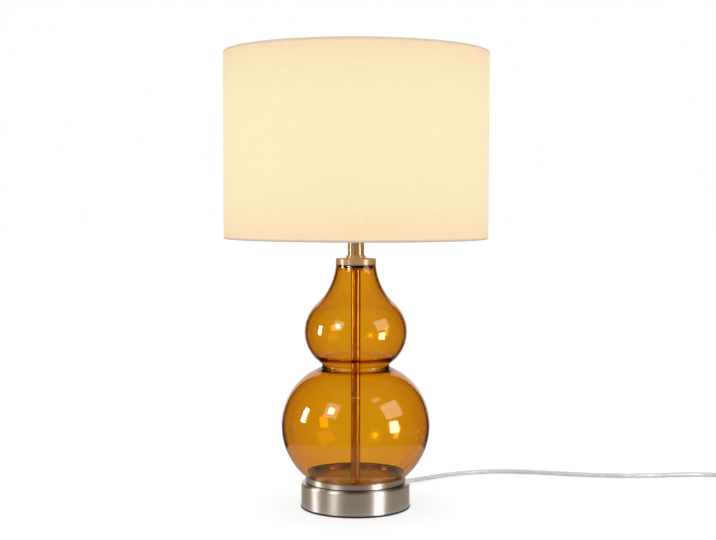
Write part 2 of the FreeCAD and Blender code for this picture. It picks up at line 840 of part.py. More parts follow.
def make_stem():
    sleeve = d.sleeve_diameter / 2
    joint = seat_floor_top + d.lower_sleeve_length
    cut = d.sleeve_chamfer
    turned_body(
        "lower_stem_sleeve",
        [
            (pipe_hole, seat_floor_top),
            (sleeve, seat_floor_top),
            (sleeve, joint - cut),
            (sleeve - cut, joint),
            (pipe_hole, joint),
        ],
    )
    turned_body(
        "upper_stem_sleeve",
        [
            (pipe_hole, joint),
            (sleeve - cut, joint),
            (sleeve, joint + cut),
            (sleeve, cap_plate_bottom),
            (pipe_hole, cap_plate_bottom),
        ],
    )
    ring_body("threaded_pipe", d.pipe_bore / 2, pipe_radius, pipe_foot, pipe_top)

    throat = neck_inner
    rim = d.cap_diameter / 2
    spigot = throat - d.fit_gap
    spigot_bore = spigot - d.spigot_wall
    spigot_foot = glass_top - d.spigot_depth
    cap = turned_body(
        "top_cap",
        [
            (rim, cap_bottom),
            (rim, cap_top),
            (pipe_hole, cap_top),
            (pipe_hole, cap_plate_bottom),
            (spigot_bore, cap_plate_bottom),
            (spigot_bore, spigot_foot),
            (spigot, spigot_foot),
            (spigot, cap_plate_bottom),
            (rim - d.cap_skirt, cap_plate_bottom),
            (rim - d.cap_skirt, cap_bottom),
        ],
    )
    round_rims(cap, d.cap_edge_radius, [(rim, cap_top)])
    ring_body("cap_gasket", spigot + d.fit_gap, rim - d.fit_gap, glass_top, cap_bottom)
    collar = ring_body("neck_collar", pipe_hole, d.collar_diameter / 2, cap_top, collar_top)
    round_rims(collar, d.collar_edge_radius, [(d.collar_diameter / 2, collar_top)])
    tube = d.neck_tube_diameter / 2
    ring_body("neck_tube", tube - d.neck_tube_wall, tube, collar_top, holder_foot)


# Lampholder


def make_holder():
    foot = d.holder_cap_foot_diameter / 2
    side = d.holder_cap_diameter / 2
    wall = d.holder_cap_wall
    dome_top = holder_foot + d.holder_cap_dome
    floor = holder_foot + wall
    turned_body(
        "holder_cap",
        [
            (pipe_hole, holder_foot),
            (foot, holder_foot, side, 1),
            (side, dome_top),
            (side, holder_split),
            (side - wall, holder_split),
            (side - wall, dome_top, side, -1),
            (foot, floor),
            (pipe_hole, floor),
        ],
    )
    hex_nut("holder_nut", d.holder_nut_width, floor, d.holder_nut_thickness)

    flange = d.flange_diameter / 2
    lip = shell_outer + d.fit_gap
    lip_bottom = skirt_top - d.holder_lip
    turned_body(
        "holder_body",
        [
            (holder_bore, holder_split),
            (side, holder_split),
            (side, flange_bottom),
            (flange, flange_bottom),
            (flange, flange_top),
            (skirt_radius, flange_top),
            (skirt_radius, skirt_top),
            (lip, skirt_top),
            (lip, lip_bottom),
            (holder_bore, lip_bottom),
        ],
    )
    disc = holder_bore - d.fit_gap
    turned_body(
        "holder_insulator",
        [(0, holder_split), (disc, holder_split), (disc, insulator_top), (0, insulator_top)],
    )
    inner = shell_outer - d.screw_shell_wall
    shell_floor = insulator_top + d.screw_shell_wall
    shell_rim = insulator_top + d.screw_shell_length
    floor_hole = d.screw_shell_floor_hole / 2
    turned_body(
        "screw_shell",
        [
            (floor_hole, insulator_top),
            (shell_outer, insulator_top),
            (shell_outer, shell_rim),
            (inner, shell_rim),
            (inner, shell_floor),
            (floor_hole, shell_floor),
        ],
    )
    make_spring()
    make_terminals()
    ring_body(
        "shade_ring_nut",
        carrier_bore,
        d.ring_nut_diameter / 2,
        ring_nut_bottom,
        ring_nut_bottom + d.ring_nut_height,
    )


def make_spring():
    """The centre contact: a brass strip with two feet and an arched back."""
    body = new_body("centre_contact")
    sketch = new_sketch(body, "arch")
    strip = d.spring_strip
    crest = insulator_top + d.spring_height
    half = d.spring_reach
    heel = d.spring_heel
    knee = d.spring_knee
    outline(
        sketch,
        [
            (-half, insulator_top),
            (-heel, insulator_top),
            (-knee, crest - strip),
            (knee, crest - strip),
            (heel, insulator_top),
            (half, insulator_top),
            (half, insulator_top + strip),
            (heel + strip / 2, insulator_top + strip),
            (knee + strip / 2, crest),
            (-knee - strip / 2, crest),
            (-heel - strip / 2, insulator_top + strip),
            (-half, insulator_top + strip),
        ],
    )
    pad(body, sketch, d.spring_width, symmetric=True)


def box(name, x, y, z, length, width, height):
    """A plain block, named by its low corner."""
    block = doc.addObject("Part::Box", name)
    for prop, value in (("Length", length), ("Width", width), ("Height", height)):
        block.setExpression(prop, size(value).text)
    move(block, x, y, z)
    return block


def rod(name, x, y, z, radius, length, direction):
    """A plain round rod from a point along a direction."""
    stick = doc.addObject("Part::Cylinder", name)
    stick.setExpression("Radius", size(radius).text)
    stick.setExpression("Height", size(length).text)
    stick.Placement = FreeCAD.Placement(
        FreeCAD.Vector(0, 0, 0), FreeCAD.Rotation(Z_AXIS, direction)
    )
    move(stick, x, y, z)
    return stick


def cut(name, base, tool):
    """The base with the tool taken out of it."""
    result = doc.addObject("Part::Cut", name)
    result.Base = base
    result.Tool = tool
    return result


def fuse(name, pieces):
    """One solid out of several."""
    result = doc.addObject("Part::MultiFuse", name)
    result.Shapes = pieces
    return result


def group(name, pieces):
    """Like pieces that share a node, as separate solids."""
    result = doc.addObject("Part::Compound", name)
    result.Label = name
    result.Links = pieces
    NODES.append(result)
    return result


def make_terminals():
    """Two brass terminal blocks under the insulator, each with its screw and its wire."""
    blocks = []
    screws = []
    half_spacing = d.terminal_spacing / 2
    bottom = holder_split - d.terminal_height
    front = d.terminal_depth / 2
    screw = d.terminal_screw_diameter / 2
    screw_head = d.terminal_screw_head / 2
    level = bottom + d.terminal_height / 2
    for side, label in ((-1, "left"), (1, "right")):
        x = half_spacing * side
        block = box(
            label + "_block",
            x - d.terminal_width / 2,
            -front,
            bottom,
            d.terminal_width,
            d.terminal_depth,
            d.terminal_height,
        )
        hole = rod(label + "_hole", x, -front, level, screw + d.pin_gap, d.terminal_depth, Y_AXIS)
        blocks.append(cut(label + "_terminal", block, hole))
        shank = rod(label + "_shank", x, -front, level, screw, d.terminal_screw_length, Y_AXIS)
        head = rod(
            label + "_head", x, -front, level, screw_head, d.terminal_screw_head_height, -Y_AXIS
        )
        screws.append(fuse(label + "_screw", [shank, head]))
    group("holder_terminals", blocks)
    group("holder_terminal_screws", screws)


# Shade


def make_shade():
    outer = d.shade_diameter / 2
    thickness = d.fabric_thickness
    roll = d.rolled_edge_radius
    inner_roll = roll - thickness
    middle = outer - roll
    lip = middle - roll
    low = shade_bottom + roll
    high = shade_top - roll
    turned_body(
        "shade_fabric",
        [
            (outer, low),
            (outer, high, roll, 1),
            (middle, shade_top, roll, 1),
            (lip, high),
            (lip, high - roll),
            (lip + thickness, high - roll),
            (lip + thickness, high, inner_roll, -1),
            (middle, shade_top - thickness, inner_roll, -1),
            (outer - thickness, high),
            (outer - thickness, low, inner_roll, -1),
            (middle, shade_bottom + thickness, inner_roll, -1),
            (lip + thickness, low),
            (lip, low, roll, 1),
            (middle, shade_bottom, roll, 1),
        ],
    )
    wire = d.ring_wire_diameter / 2
    film_outer = outer - thickness - d.lining_gap
    ring_body(
        "shade_lining",
        film_outer - d.lining_thickness,
        film_outer,
        low + wire + d.fit_gap,
        high - wire - d.fit_gap,
    )

    top_ring = new_body("shade_top_ring")
    section = new_sketch(top_ring, "wire")
    circle(section, middle, high, wire)
    turn(top_ring, section)

    bottom_ring = new_body("shade_bottom_ring")
    section = new_sketch(bottom_ring, "wire")
    circle(section, middle, low, wire)
    turn(bottom_ring, section)

    plate_outer = d.carrier_diameter / 2
    ring_body("shade_carrier", carrier_bore, plate_outer, carrier_bottom, carrier_top)

    # the arms leave the carrier's rim, bend down inside the lining and stand on the bottom ring
    arms = new_body("shade_arms")
    arm_wire = d.arm_wire_diameter / 2
    arm_level = (carrier_bottom + carrier_top) / 2
    drop = film_outer - d.lining_thickness - d.lining_gap - arm_wire
    path = new_sketch(arms, "arm_line")
    outline(
        path,
        [
            (plate_outer, arm_level),
            (drop - d.arm_bend, arm_level, d.arm_bend, -1),
            (drop, arm_level - d.arm_bend),
            (drop, low + wire),
        ],
        closed=False,
    )
    profile = new_sketch(arms, "arm_wire", "YZ_Plane", plate_outer)
    circle(profile, 0, arm_level, arm_wire)
    arm = arms.newObject("PartDesign::AdditivePipe", "Arm")
    arm.Profile = profile
    arm.Spine = path
    doc.recompute()
    pattern = arms.newObject("PartDesign::PolarPattern", "Arms")
    pattern.Originals = [arm]
    pattern.Axis = (path, ["V_Axis"])
    pattern.Angle = 360
    pattern.Occurrences = int(d.arm_count.value)
    pattern.setExpression("Occurrences", d.arm_count.text)
    arms.Tip = pattern


# Bulb


def make_bulb():
    neck = d.bulb_neck_radius
    curve = d.bulb_neck_curve
    ball = d.bulb_radius
    wall = d.bulb_wall
    # the neck's hollow arc touches the ball on the line between the two centres
    apart = ball + curve
    centre_gap = neck + curve
    fall = (apart * apart - centre_gap * centre_gap).root()
    neck_top = bulb_centre - fall
    seat = bulb_cap_top - d.bulb_neck_depth
    touch_x = centre_gap / apart
    touch_y = fall / apart
    skin = ball - wall
    turned_body(
        "bulb_glass",
        [
            (neck, seat),
            (neck, neck_top, curve, -1),
            (touch_x * ball, bulb_centre - touch_y * ball, ball, 1),
            (ball, bulb_centre, ball, 1),
            (0, bulb_centre + ball),
            (0, bulb_centre + skin, skin, -1),
            (skin, bulb_centre, skin, -1),
            (touch_x * skin, bulb_centre - touch_y * skin, curve + wall, 1),
            (neck - wall, neck_top),
            (neck - wall, seat),
        ],
    )
    cap = d.bulb_cap_diameter / 2
    cap_wall = d.bulb_cap_wall
    cone = d.bulb_insulator_diameter / 2
    tip = d.bulb_contact_diameter / 2
    turned_body(
        "bulb_cap",
        [
            (cone, bulb_cap_bottom),
            (cap, bulb_cap_bottom),
            (cap, bulb_cap_top),
            (cap - cap_wall, bulb_cap_top),
            (cap - cap_wall, bulb_cap_bottom + cap_wall),
            (cone, bulb_cap_bottom + cap_wall),
        ],
    )
    turned_body(
        "bulb_insulator",
        [
            (0, bulb_insulator_bottom),
            (tip, bulb_insulator_bottom),
            (cone, bulb_cap_bottom),
            (cone, bulb_cap_bottom + cap_wall),
            (0, bulb_cap_bottom + cap_wall),
        ],
    )
    turned_body(
        "bulb_contact",
        [
            (0, bulb_foot),
            (d.bulb_contact_face / 2, bulb_foot),
            (tip, bulb_insulator_bottom),
            (0, bulb_insulator_bottom),
        ],
    )


# Flex: the stretch inside the lamp, the lead, the coil and the tail


# An arc takes this share of the shorter of its two runs
CORNER_SHARE = 0.45


def rounded_path(points):
    """Straight runs joined by tangent arcs, each as large as its two runs allow."""
    edges = []
    radii = []
    here = points[0]
    for before, corner, after in zip(points, points[1:], points[2:]):
        way_in = corner - before
        way_out = after - corner
        half_turn = way_in.getAngle(way_out) / 2
        reach = CORNER_SHARE * min(way_in.Length, way_out.Length)
        radius = reach / math.tan(half_turn)
        start = corner - way_in / way_in.Length * reach
        end = corner + way_out / way_out.Length * reach
        inward = (start + end) / 2 - corner
        middle = corner + inward / inward.Length * (radius / math.cos(half_turn) - radius)
        edges.append(Part.LineSegment(here, start).toShape())
        edges.append(Part.Arc(start, middle, end).toShape())
        radii.append(radius)
        here = end
    edges.append(Part.LineSegment(here, points[-1]).toShape())
    return Part.Wire(edges), radii


def make_tube(name, path, start, heading, radius):
    """A round tube along a path, compared with its section times its length."""
    profile = Part.Wire([Part.Circle(start, heading, radius).toShape()])
    shape = path.makePipeShell([profile], True, False)
    expected = math.pi * radius**2 * path.Length
    print("%s: %.1f mm long, volume %.4f of its section times length" % (
        name, path.Length, shape.Volume / expected))
    if abs(shape.Volume / expected - 1) > 0.01:
        raise RuntimeError("the tube of %s has a wrong volume" % name)
    return shape


def make_cord(name, points):
    """One stretch of the flex along its route."""
    path, radii = rounded_path(points)
    print(name, "bend radii:", " ".join("%.0f" % radius for radius in radii))
    heading = points[1] - points[0]
    new_solid(name, make_tube(name, path, points[0], heading, cord_radius.value))
    return path.Length


def outward(distance, level):
    """A point on the vertical plane through the axis and the cord outlet."""
    angle = math.radians(d.outlet_angle.value)
    reach = size(distance).value
    return point(reach * math.cos(angle), reach * math.sin(angle), level)


def make_inner_cord():
    """The flex from the relief's tip through the weight's channel and up the threaded pipe."""
    tip = outward(d.base_diameter / 2 + d.relief_length, d.outlet_height)
    turn_start = outward(d.cord_bend, d.outlet_height)
    turn_top = point(0, 0, d.outlet_height + d.cord_bend)
    centre = outward(d.cord_bend, d.outlet_height + d.cord_bend)
    middle = centre - (centre * 2 - turn_start - turn_top) * math.sqrt(0.5)
    top = point(0, 0, pipe_top + d.pipe_tail)
    path = Part.Wire(
        [
            Part.LineSegment(tip, turn_start).toShape(),
            Part.Arc(turn_start, middle, turn_top).toShape(),
            Part.LineSegment(turn_top, top).toShape(),
        ]
    )
    heading = turn_start - tip
    new_solid("inner_cord", make_tube("inner_cord", path, tip, heading, cord_radius.value))

    # its two cores spread to the terminal blocks
    cores = []
    wire = d.wire_diameter.value / 2
    block_foot = holder_split - d.terminal_height
    for side in (-1, 1):
        foot = top + point(d.core_spacing / 2 * side, 0, 0)
        rise = (block_foot - pipe_top - d.pipe_tail) / 3
        knee = foot + point(0, 0, rise)
        end = point(d.terminal_spacing / 2 * side, 0, block_foot)
        shoulder = end - point(0, 0, rise)
        path, radii = rounded_path([foot, knee, shoulder, end])
        cores.append(make_tube("core", path, foot, knee - foot, wire))
    new_solid("cord_cores", Part.makeCompound(cores))


def lead_route():
    """The route from the relief's tip to the inline switch, as the photograph shows it up to its
    right edge, and then round towards the switch."""
    exit_reach = d.base_diameter / 2 + d.relief_length
    entry_y = d.switch_y + d.switch_length / 2
    return [
        outward(exit_reach, d.outlet_height),
        outward(exit_reach + d.lead_straight, d.outlet_height),
        point(62.0, 104.0, 4.6),
        point(83.5, 129.0, cord_radius),
        point(112.0, 150.5, cord_radius),
        point(146.0, 165.0, cord_radius),
        point(182.0, 169.5, cord_radius),
        point(222.0, 161.5, cord_radius),
        point(264.0, 150.5, cord_radius),
        point(304.0, 144.0, cord_radius),
        point(345.0, 144.5, cord_radius),
        point(386.0, 151.0, cord_radius),
        point(426.0, 152.0, cord_radius),
        point(456.0, 140.0, cord_radius),
        point(471.0, 118.0, 5.4),
        point(d.switch_x, entry_y + d.lead_end, switch_split),
        point(d.switch_x, entry_y - d.cord_entry, switch_split),
    ]


def make_flex():
    """The lead to the switch, the run to the coil, the coil and the tail to the plug."""
    straight = d.cord_diameter
    coil_start = point(d.switch_x, d.coil_y + straight, coil_low)
    coil_end = point(d.switch_x, d.coil_y - straight, coil_high)
    switch_foot = d.switch_y - d.switch_length / 2
    run = [
        point(d.switch_x, switch_foot + d.cord_entry, switch_split),
        point(d.switch_x, switch_foot - d.run_straight, switch_split),
        point(d.switch_x, switch_foot - d.run_straight - d.run_fall, coil_low),
        coil_start,
    ]
    relief_tip = point(d.switch_x, d.plug_y, plug_level)
    tail = [
        coil_end,
        coil_end - point(0, d.tail_straight, 0),
        relief_tip + point(0, d.tail_end, 0),
        relief_tip,
    ]
    total = make_cord("cord_lead", lead_route())
    total += make_cord("cord_run", run)
    total += make_coil()
    total += make_cord("cord_tail", tail)
    print("flex outside the lamp: %.0f mm" % total)


# The coil's spiral turns back on itself over this many turns each side of its middle
BLEND = 0.25


def coil_place(turns):
    """A point of the coil's centre line after a number of turns: it spirals in on the lower
    layer, climbs while it turns back, and spirals out on the upper one."""
    middle = d.coil_turns.value / 2
    pitch = coil_pitch.value
    away = abs(turns - middle)
    innermost = d.coil_outer_radius.value - pitch * (middle - BLEND / 2)
    radius = innermost + pitch * (away - BLEND / 2)
    if away < BLEND:
        radius = innermost + pitch * away**2 / (2 * BLEND)
    climb = min(max((turns - middle + BLEND) / (2 * BLEND), 0.0), 1.0)
    level = coil_low.value + pitch * climb**2 * (3 - 2 * climb)
    angle = -2 * math.pi * turns
    reach_x = coil_x + radius * math.cos(angle)
    reach_y = d.coil_y + radius * math.sin(angle)
    return point(reach_x, reach_y, level)


def coil_heading(turns):
    """The direction of the coil's centre line; both ends run straight along -Y."""
    if turns in (0.0, d.coil_turns.value):
        return point(0, -1, 0)
    step = coil_place(turns + 1e-5) - coil_place(turns - 1e-5)
    return step / step.Length


def tangent_arc(start, heading, end):
    """The arc that leaves the start along the heading and reaches the end."""
    chord = end - start
    aside = chord - heading * chord.dot(heading)
    aside = aside / aside.Length
    radius = chord.Length**2 / (2 * chord.dot(aside))
    centre = start + aside * radius
    middle = (start + end) / 2 - centre
    return Part.Arc(start, centre + middle / middle.Length * radius, end).toShape()


def biarc(start, heading, end, last_heading):
    """Two arcs that join two points along the headings given at both."""
    chord = end - start
    both = heading + last_heading
    fold = 2 * (1 - heading.dot(last_heading))
    reach = (math.sqrt(chord.dot(both) ** 2 + fold * chord.dot(chord)) - chord.dot(both)) / fold
    meeting = (start + end + (heading - last_heading) * reach) / 2
    first = tangent_arc(start, heading, meeting)
    second = tangent_arc(meeting, first.tangentAt(first.LastParameter), end)
    return [first, second]


def make_coil():
    """Six turns in two layers, one unbroken tube on a biarc for every quarter turn."""
    straight = d.cord_diameter.value
    down = point(0, -1, 0)
    first = coil_place(0.0)
    last = coil_place(d.coil_turns.value)
    start = first - down * straight
    edges = [Part.LineSegment(start, first).toShape()]
    quarters = int(round(d.coil_turns.value * 4))
    for quarter in range(quarters):
        a = quarter / 4.0
        b = a + 0.25
        edges += biarc(coil_place(a), coil_heading(a), coil_place(b), coil_heading(b))
    edges.append(Part.LineSegment(last, last + down * straight).toShape())
    path = Part.Wire(edges)
    new_solid("cord_coil", make_tube("cord_coil", path, start, down, cord_radius.value))
    print_least_gap(edges)
    return path.Length


def print_least_gap(edges):
    """Measures on points how near the coil comes to itself."""
    places = []
    travelled = 0.0
    for edge in edges:
        steps = 8
        span = edge.LastParameter - edge.FirstParameter
        for step in range(steps):
            share = step / steps
            spot = edge.valueAt(edge.FirstParameter + share * span)
            places.append((travelled + share * edge.Length, spot))
        travelled += edge.Length
    apart = d.cord_diameter.value * math.pi
    least = min(
        (q - p).Length
        for index, (here, p) in enumerate(places)
        for there, q in places[index + 1 :]
        if there - here > apart
    )
    print("cord_coil: least gap to itself %.2f mm" % (least - d.cord_diameter.value))


def make_tie():
    """The strap that holds the coil's turns together."""
    body = new_body("coil_tie")
    strap = d.tie_strap
    half_turn = coil_pitch / 2
    near = coil_pitch * (d.coil_turns / 2 - 0.5)
    far_side = -(d.coil_outer_radius - half_turn + cord_radius + d.tie_slack)
    near_side = -(d.coil_outer_radius - near - cord_radius - d.tie_slack)
    top = coil_high + cord_radius + d.tie_clearance
    bend = cord_radius - d.tie_clearance * 2
    sketch = new_sketch(body, "loop")
    rounded_rectangle(sketch, far_side, strap, near_side, top, bend)
    rounded_rectangle(sketch, far_side - strap, size(0), near_side + strap, top + strap, bend + strap)
    pad(body, sketch, d.tie_width, symmetric=True)
    move(body, coil_x, d.coil_y, 0)


def rounded_rectangle(sketch, x0, y0, x1, y1, bend):
    """A rectangle with four rounded corners."""
    outline(
        sketch,
        [
            (x0 + bend, y0),
            (x1 - bend, y0, bend, 1),
            (x1, y0 + bend),
            (x1, y1 - bend, bend, 1),
            (x1 - bend, y1),
            (x0 + bend, y1, bend, 1),
            (x0, y1 - bend),
            (x0, y0 + bend, bend, 1),
        ],
    )


# Inline switch, drawn round the middle of its underside


def switch_outline(sketch, inset):
    """The switch's long eight-sided outline, moved inwards by the inset."""
    inset = size(inset)
    half_length = d.switch_length / 2
    slope = (d.switch_width - d.switch_end_width) / 2 / d.switch_taper
    skew = inset * (slope * slope + 1).root()
    side = d.switch_width / 2 - inset
    end_x = d.switch_end_width / 2 + inset * slope - skew
    end_y = half_length - inset
    side_y = half_length - (side + skew - d.switch_end_width / 2) / slope
    outline(
        sketch,
        [
            (-end_x, -end_y),
            (end_x, -end_y),
            (side, -side_y),
            (side, side_y),
            (end_x, end_y),
            (-end_x, end_y),
            (-side, side_y),
            (-side, -side_y),
        ],
    )


def round_edges(body, radius, chosen):
    """Fillets the tip's straight edges that the test picks."""
    doc.recompute()
    tip = body.Tip
    names = []
    for index, edge in enumerate(tip.Shape.Edges, start=1):
        if chosen([vertex.Point for vertex in edge.Vertexes]):
            names.append("Edge%d" % index)
    if not names:
        raise RuntimeError("no edge to round on %s" % body.Label)
    feature = body.newObject("PartDesign::Fillet", "RoundedEdges")
    feature.Base = (tip, names)
    feature.Radius = size(radius).value
    feature.setExpression("Radius", size(radius).text)


def switch_shell(name, bottom, top, outside, backwards):
    """Half of the switch's housing: its wall, two screw bosses and half of each cord entry."""
    body = new_body(name)
    block = new_sketch(body, "block", "XY_Plane", bottom)
    switch_outline(block, 0.0)
    pad(body, block, top - bottom)
    level = outside.value
    round_edges(body, d.switch_corner_radius, lambda ends: abs(ends[0].z - ends[1].z) > 1)
    round_edges(
        body,
        d.switch_edge_radius,
        lambda ends: all(abs(end.z - level) < 1e-6 for end in ends),
    )
    hollow = new_sketch(body, "hollow", "XY_Plane", switch_split)
    switch_outline(hollow, d.switch_wall)
    for side in (-1, 1):
        circle(hollow, 0, d.switch_screw_reach * side, d.switch_boss_diameter / 2)
    pocket(body, hollow, switch_split - d.switch_wall, backwards)
    end_y = d.switch_length / 2
    for side, reverse in ((1, False), (-1, True)):
        entry = new_sketch(body, "cord_entry", "XZ_Plane", (end_y + d.fit_gap) * side)
        circle(entry, 0, switch_split, cord_hole)
        pocket(body, entry, d.switch_wall + d.fit_gap * 2, reverse)
    return body


def make_switch():
    x, y = d.switch_x, d.switch_y
    screw = d.switch_screw_diameter / 2
    head_top = d.switch_screw_head_depth + d.fit_gap
    lower = switch_shell("switch_lower_shell", size(0.0), switch_split, size(0.0), False)
    recess = new_sketch(lower, "screw_recesses", "XY_Plane", 0)
    holes = new_sketch(lower, "screw_holes", "XY_Plane", 0)
    for side in (-1, 1):
        circle(recess, 0, d.switch_screw_reach * side, d.switch_screw_head / 2 + d.fit_gap)
        circle(holes, 0, d.switch_screw_reach * side, screw + d.pin_gap)
    pocket(lower, recess, head_top, True)
    pocket(lower, holes, switch_split, True)
    move(lower, x, y, 0)

    upper = switch_shell("switch_upper_shell", switch_split, d.switch_height, d.switch_height, True)
    screw_top = d.fit_gap + d.switch_screw_length
    blind = new_sketch(upper, "blind_holes", "XY_Plane", switch_split)
    for side in (-1, 1):
        circle(blind, 0, d.switch_screw_reach * side, screw + d.pin_gap)
    pocket(upper, blind, screw_top + d.fit_gap - switch_split, True)
    opening = new_sketch(upper, "rocker_opening", "XY_Plane", d.switch_height)
    open_x = d.rocker_width / 2 + d.fit_gap
    open_y = d.rocker_radius + d.fit_gap
    rectangle(opening, -open_x, -open_y, open_x, open_y)
    pocket(upper, opening, d.switch_wall * 2)
    ears = new_sketch(upper, "ears", "XY_Plane", d.switch_height - d.switch_wall - d.rocker_ear_drop)
    ear_y = d.rocker_ear_length / 2
    for side in (-1, 1):
        near = open_x * side
        far = (open_x + d.rocker_ear) * side
        low, high = (far, near) if side < 0 else (near, far)
        rectangle(ears, low, -ear_y, high, ear_y)
    pad(upper, ears, d.rocker_ear_drop + d.switch_wall / 2)
    pin = d.rocker_pin_diameter / 2
    bore = new_sketch(upper, "pin_bore", "YZ_Plane")
    circle(bore, 0, d.rocker_pivot_height, pin + d.pin_gap)
    across = pocket(upper, bore, (open_x + d.rocker_ear) * 2)
    across.SideType = "Symmetric"
    move(upper, x, y, 0)

    make_rocker(x, y, pin)
    pin_length = (open_x + d.rocker_ear) * 2
    hinge_pin = new_body("rocker_pin")
    section = new_sketch(hinge_pin, "pin", "YZ_Plane")
    circle(section, 0, 0, pin)
    pad(hinge_pin, section, pin_length, symmetric=True)
    move(hinge_pin, x, y, d.rocker_pivot_height)
    make_contacts(x, y)

    screws = []
    screw_head = d.switch_screw_head / 2
    head_depth = d.switch_screw_head_depth
    for side, label in ((-1, "near"), (1, "far")):
        place_y = y + d.switch_screw_reach * side
        head = rod(label + "_head", x, place_y, d.fit_gap, screw_head, head_depth, Z_AXIS)
        shank = rod(label + "_shank", x, place_y, d.fit_gap, screw, d.switch_screw_length, Z_AXIS)
        screws.append(fuse(label + "_screw", [head, shank]))
    group("switch_screws", screws)


def make_rocker(x, y, pin):
    """The rocker: a dished bar on a cross pin, modelled pressed down at its near end."""
    body = new_body("switch_rocker")
    section = new_sketch(body, "rocker_section", "YZ_Plane")
    radius = d.rocker_radius
    corner = d.rocker_corner
    under = d.rocker_underside
    top_y = (radius * radius - corner * corner).root()
    low_y = (radius * radius - under * under).root()
    outline(
        section,
        [
            (-low_y, -under),
            (low_y, -under, radius, 1),
            (top_y, corner),
            (0, d.rocker_dip),
            (-top_y, corner, radius, 1),
        ],
    )
    circle(section, 0, 0, pin + d.pin_gap)
    pad(body, section, d.rocker_width, symmetric=True)
    body.Placement = FreeCAD.Placement(
        FreeCAD.Vector(0, 0, 0), FreeCAD.Rotation(X_AXIS, d.rocker_tilt.value)
    )
    body.setExpression("Placement.Rotation.Angle", d.rocker_tilt.text)
    move(body, x, y, d.rocker_pivot_height)


def make_contacts(x, y):
    """Two brass contact strips on the floor of the housing, below the rocker's ends."""
    contacts = []
    strip = d.contact_strip
    floor = d.switch_wall
    reach = d.contact_reach
    top = d.rocker_pivot_height - d.rocker_underside - d.contact_clearance
    for side, label in ((-1, "near"), (1, "far")):
        low = reach if side > 0 else -reach - d.contact_foot
        foot = box(
            label + "_foot",
            x - d.contact_width / 2,
            y + low,
            floor,
            d.contact_width,
            d.contact_foot,
            strip,
        )
        upright_y = y + reach if side > 0 else y - reach - strip
        blade = box(
            label + "_blade",
            x - d.contact_width / 2,
            upright_y,
            floor,
            d.contact_width,
            strip,
            top - floor,
        )
        contacts.append(fuse(label + "_contact", [foot, blade]))
    group("switch_contacts", contacts)


# Plug, drawn along -Y from the tip of its strain relief


def plug_section(body, name, distance, width, thickness, flat):
    """A flattened hexagon across the plug."""
    sketch = new_sketch(body, name, "XZ_Plane", distance)
    half_width = size(width) / 2
    half_thickness = size(thickness) / 2
    half_flat = size(flat) / 2
    outline(
        sketch,
        [
            (half_width, 0),
            (half_flat, half_thickness),
            (-half_flat, half_thickness),
            (-half_width, 0),
            (-half_flat, -half_thickness),
            (half_flat, -half_thickness),
        ],
    )
    return sketch


def make_plug():
    body = new_body("plug_body")
    relief = d.plug_relief_length
    neck_end = relief + d.plug_neck_length
    face = neck_end + d.plug_body_length
    neck = d.plug_neck_diameter
    tip = d.plug_relief_tip_diameter / 2
    section = new_sketch(body, "relief_section", "XY_Plane")
    slope = (neck / 2 - tip) / relief
    corners = [(0, 0), (tip, 0)]
    for index in (1, 2, 3):
        groove = d.relief_groove_pitch * index
        after = groove + d.relief_groove_width
        depth = d.relief_groove_depth
        corners.append((tip + slope * groove, -groove))
        corners.append((tip + slope * groove - depth, -groove))
        corners.append((tip + slope * after - depth, -after))
        corners.append((tip + slope * after, -after))
    corners += [(neck / 2, -relief), (0, -relief)]
    outline(section, corners)
    turn(body, section)
    neck_root = plug_section(body, "neck_root", relief, neck, neck, neck / 2)
    waist = plug_section(
        body, "waist", neck_end, d.plug_waist_width, d.plug_waist_thickness, d.plug_waist_flat
    )
    front = plug_section(body, "front", face, d.plug_width, d.plug_thickness, d.plug_flat_width)
    loft = body.newObject("PartDesign::AdditiveLoft", "Housing")
    loft.Profile = neck_root
    loft.Sections = [waist, front]
    loft.Ruled = True
    sockets = new_sketch(body, "sockets", "XZ_Plane", face)
    half_spacing = d.plug_pin_spacing / 2
    for side in (-1, 1):
        circle(sockets, half_spacing * side, 0, d.plug_pin_diameter / 2 + d.pin_gap)
    pocket(body, sockets, d.plug_pin_socket)
    move(body, d.switch_x, d.plug_y, plug_level)

    pins = []
    radius = d.plug_pin_diameter / 2
    root_y = d.plug_y - face + d.plug_pin_socket
    length = d.plug_pin_socket + d.plug_pin_length - radius
    for side, label in ((-1, "left"), (1, "right")):
        x = d.switch_x + half_spacing * side
        shank = rod(label + "_pin_shank", x, root_y, plug_level, radius, length, -Y_AXIS)
        dome = doc.addObject("Part::Sphere", label + "_pin_tip")
        dome.setExpression("Radius", radius.text)
        move(dome, x, root_y - length, plug_level)
        pins.append(fuse(label + "_pin", [shank, dome]))
    group("plug_pins", pins)


make_base()
make_grommet()
make_glass()
make_stem()
make_holder()
make_shade()
make_bulb()
make_inner_cord()
make_flex()
make_tie()
make_switch()
make_plug()
doc.recompute()

# Every feature has to be sound before a file is written
for item in doc.Objects:
    if "Invalid" in item.State or "Error" in item.State:
        raise RuntimeError("%s is %s" % (item.Label, item.State))
for node in NODES:
    if node.Shape.isNull() or not node.Shape.isValid() or not node.Shape.Solids:
        raise RuntimeError("%s has no sound solid" % node.Label)

os.makedirs("parts", exist_ok=True)
for node in NODES:
    node.Shape.exportStep("parts/" + node.Label + ".step")
print(len(NODES), "pieces written")
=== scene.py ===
"""Double gourd lamp: its glass, metal, cloth and flex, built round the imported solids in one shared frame."""

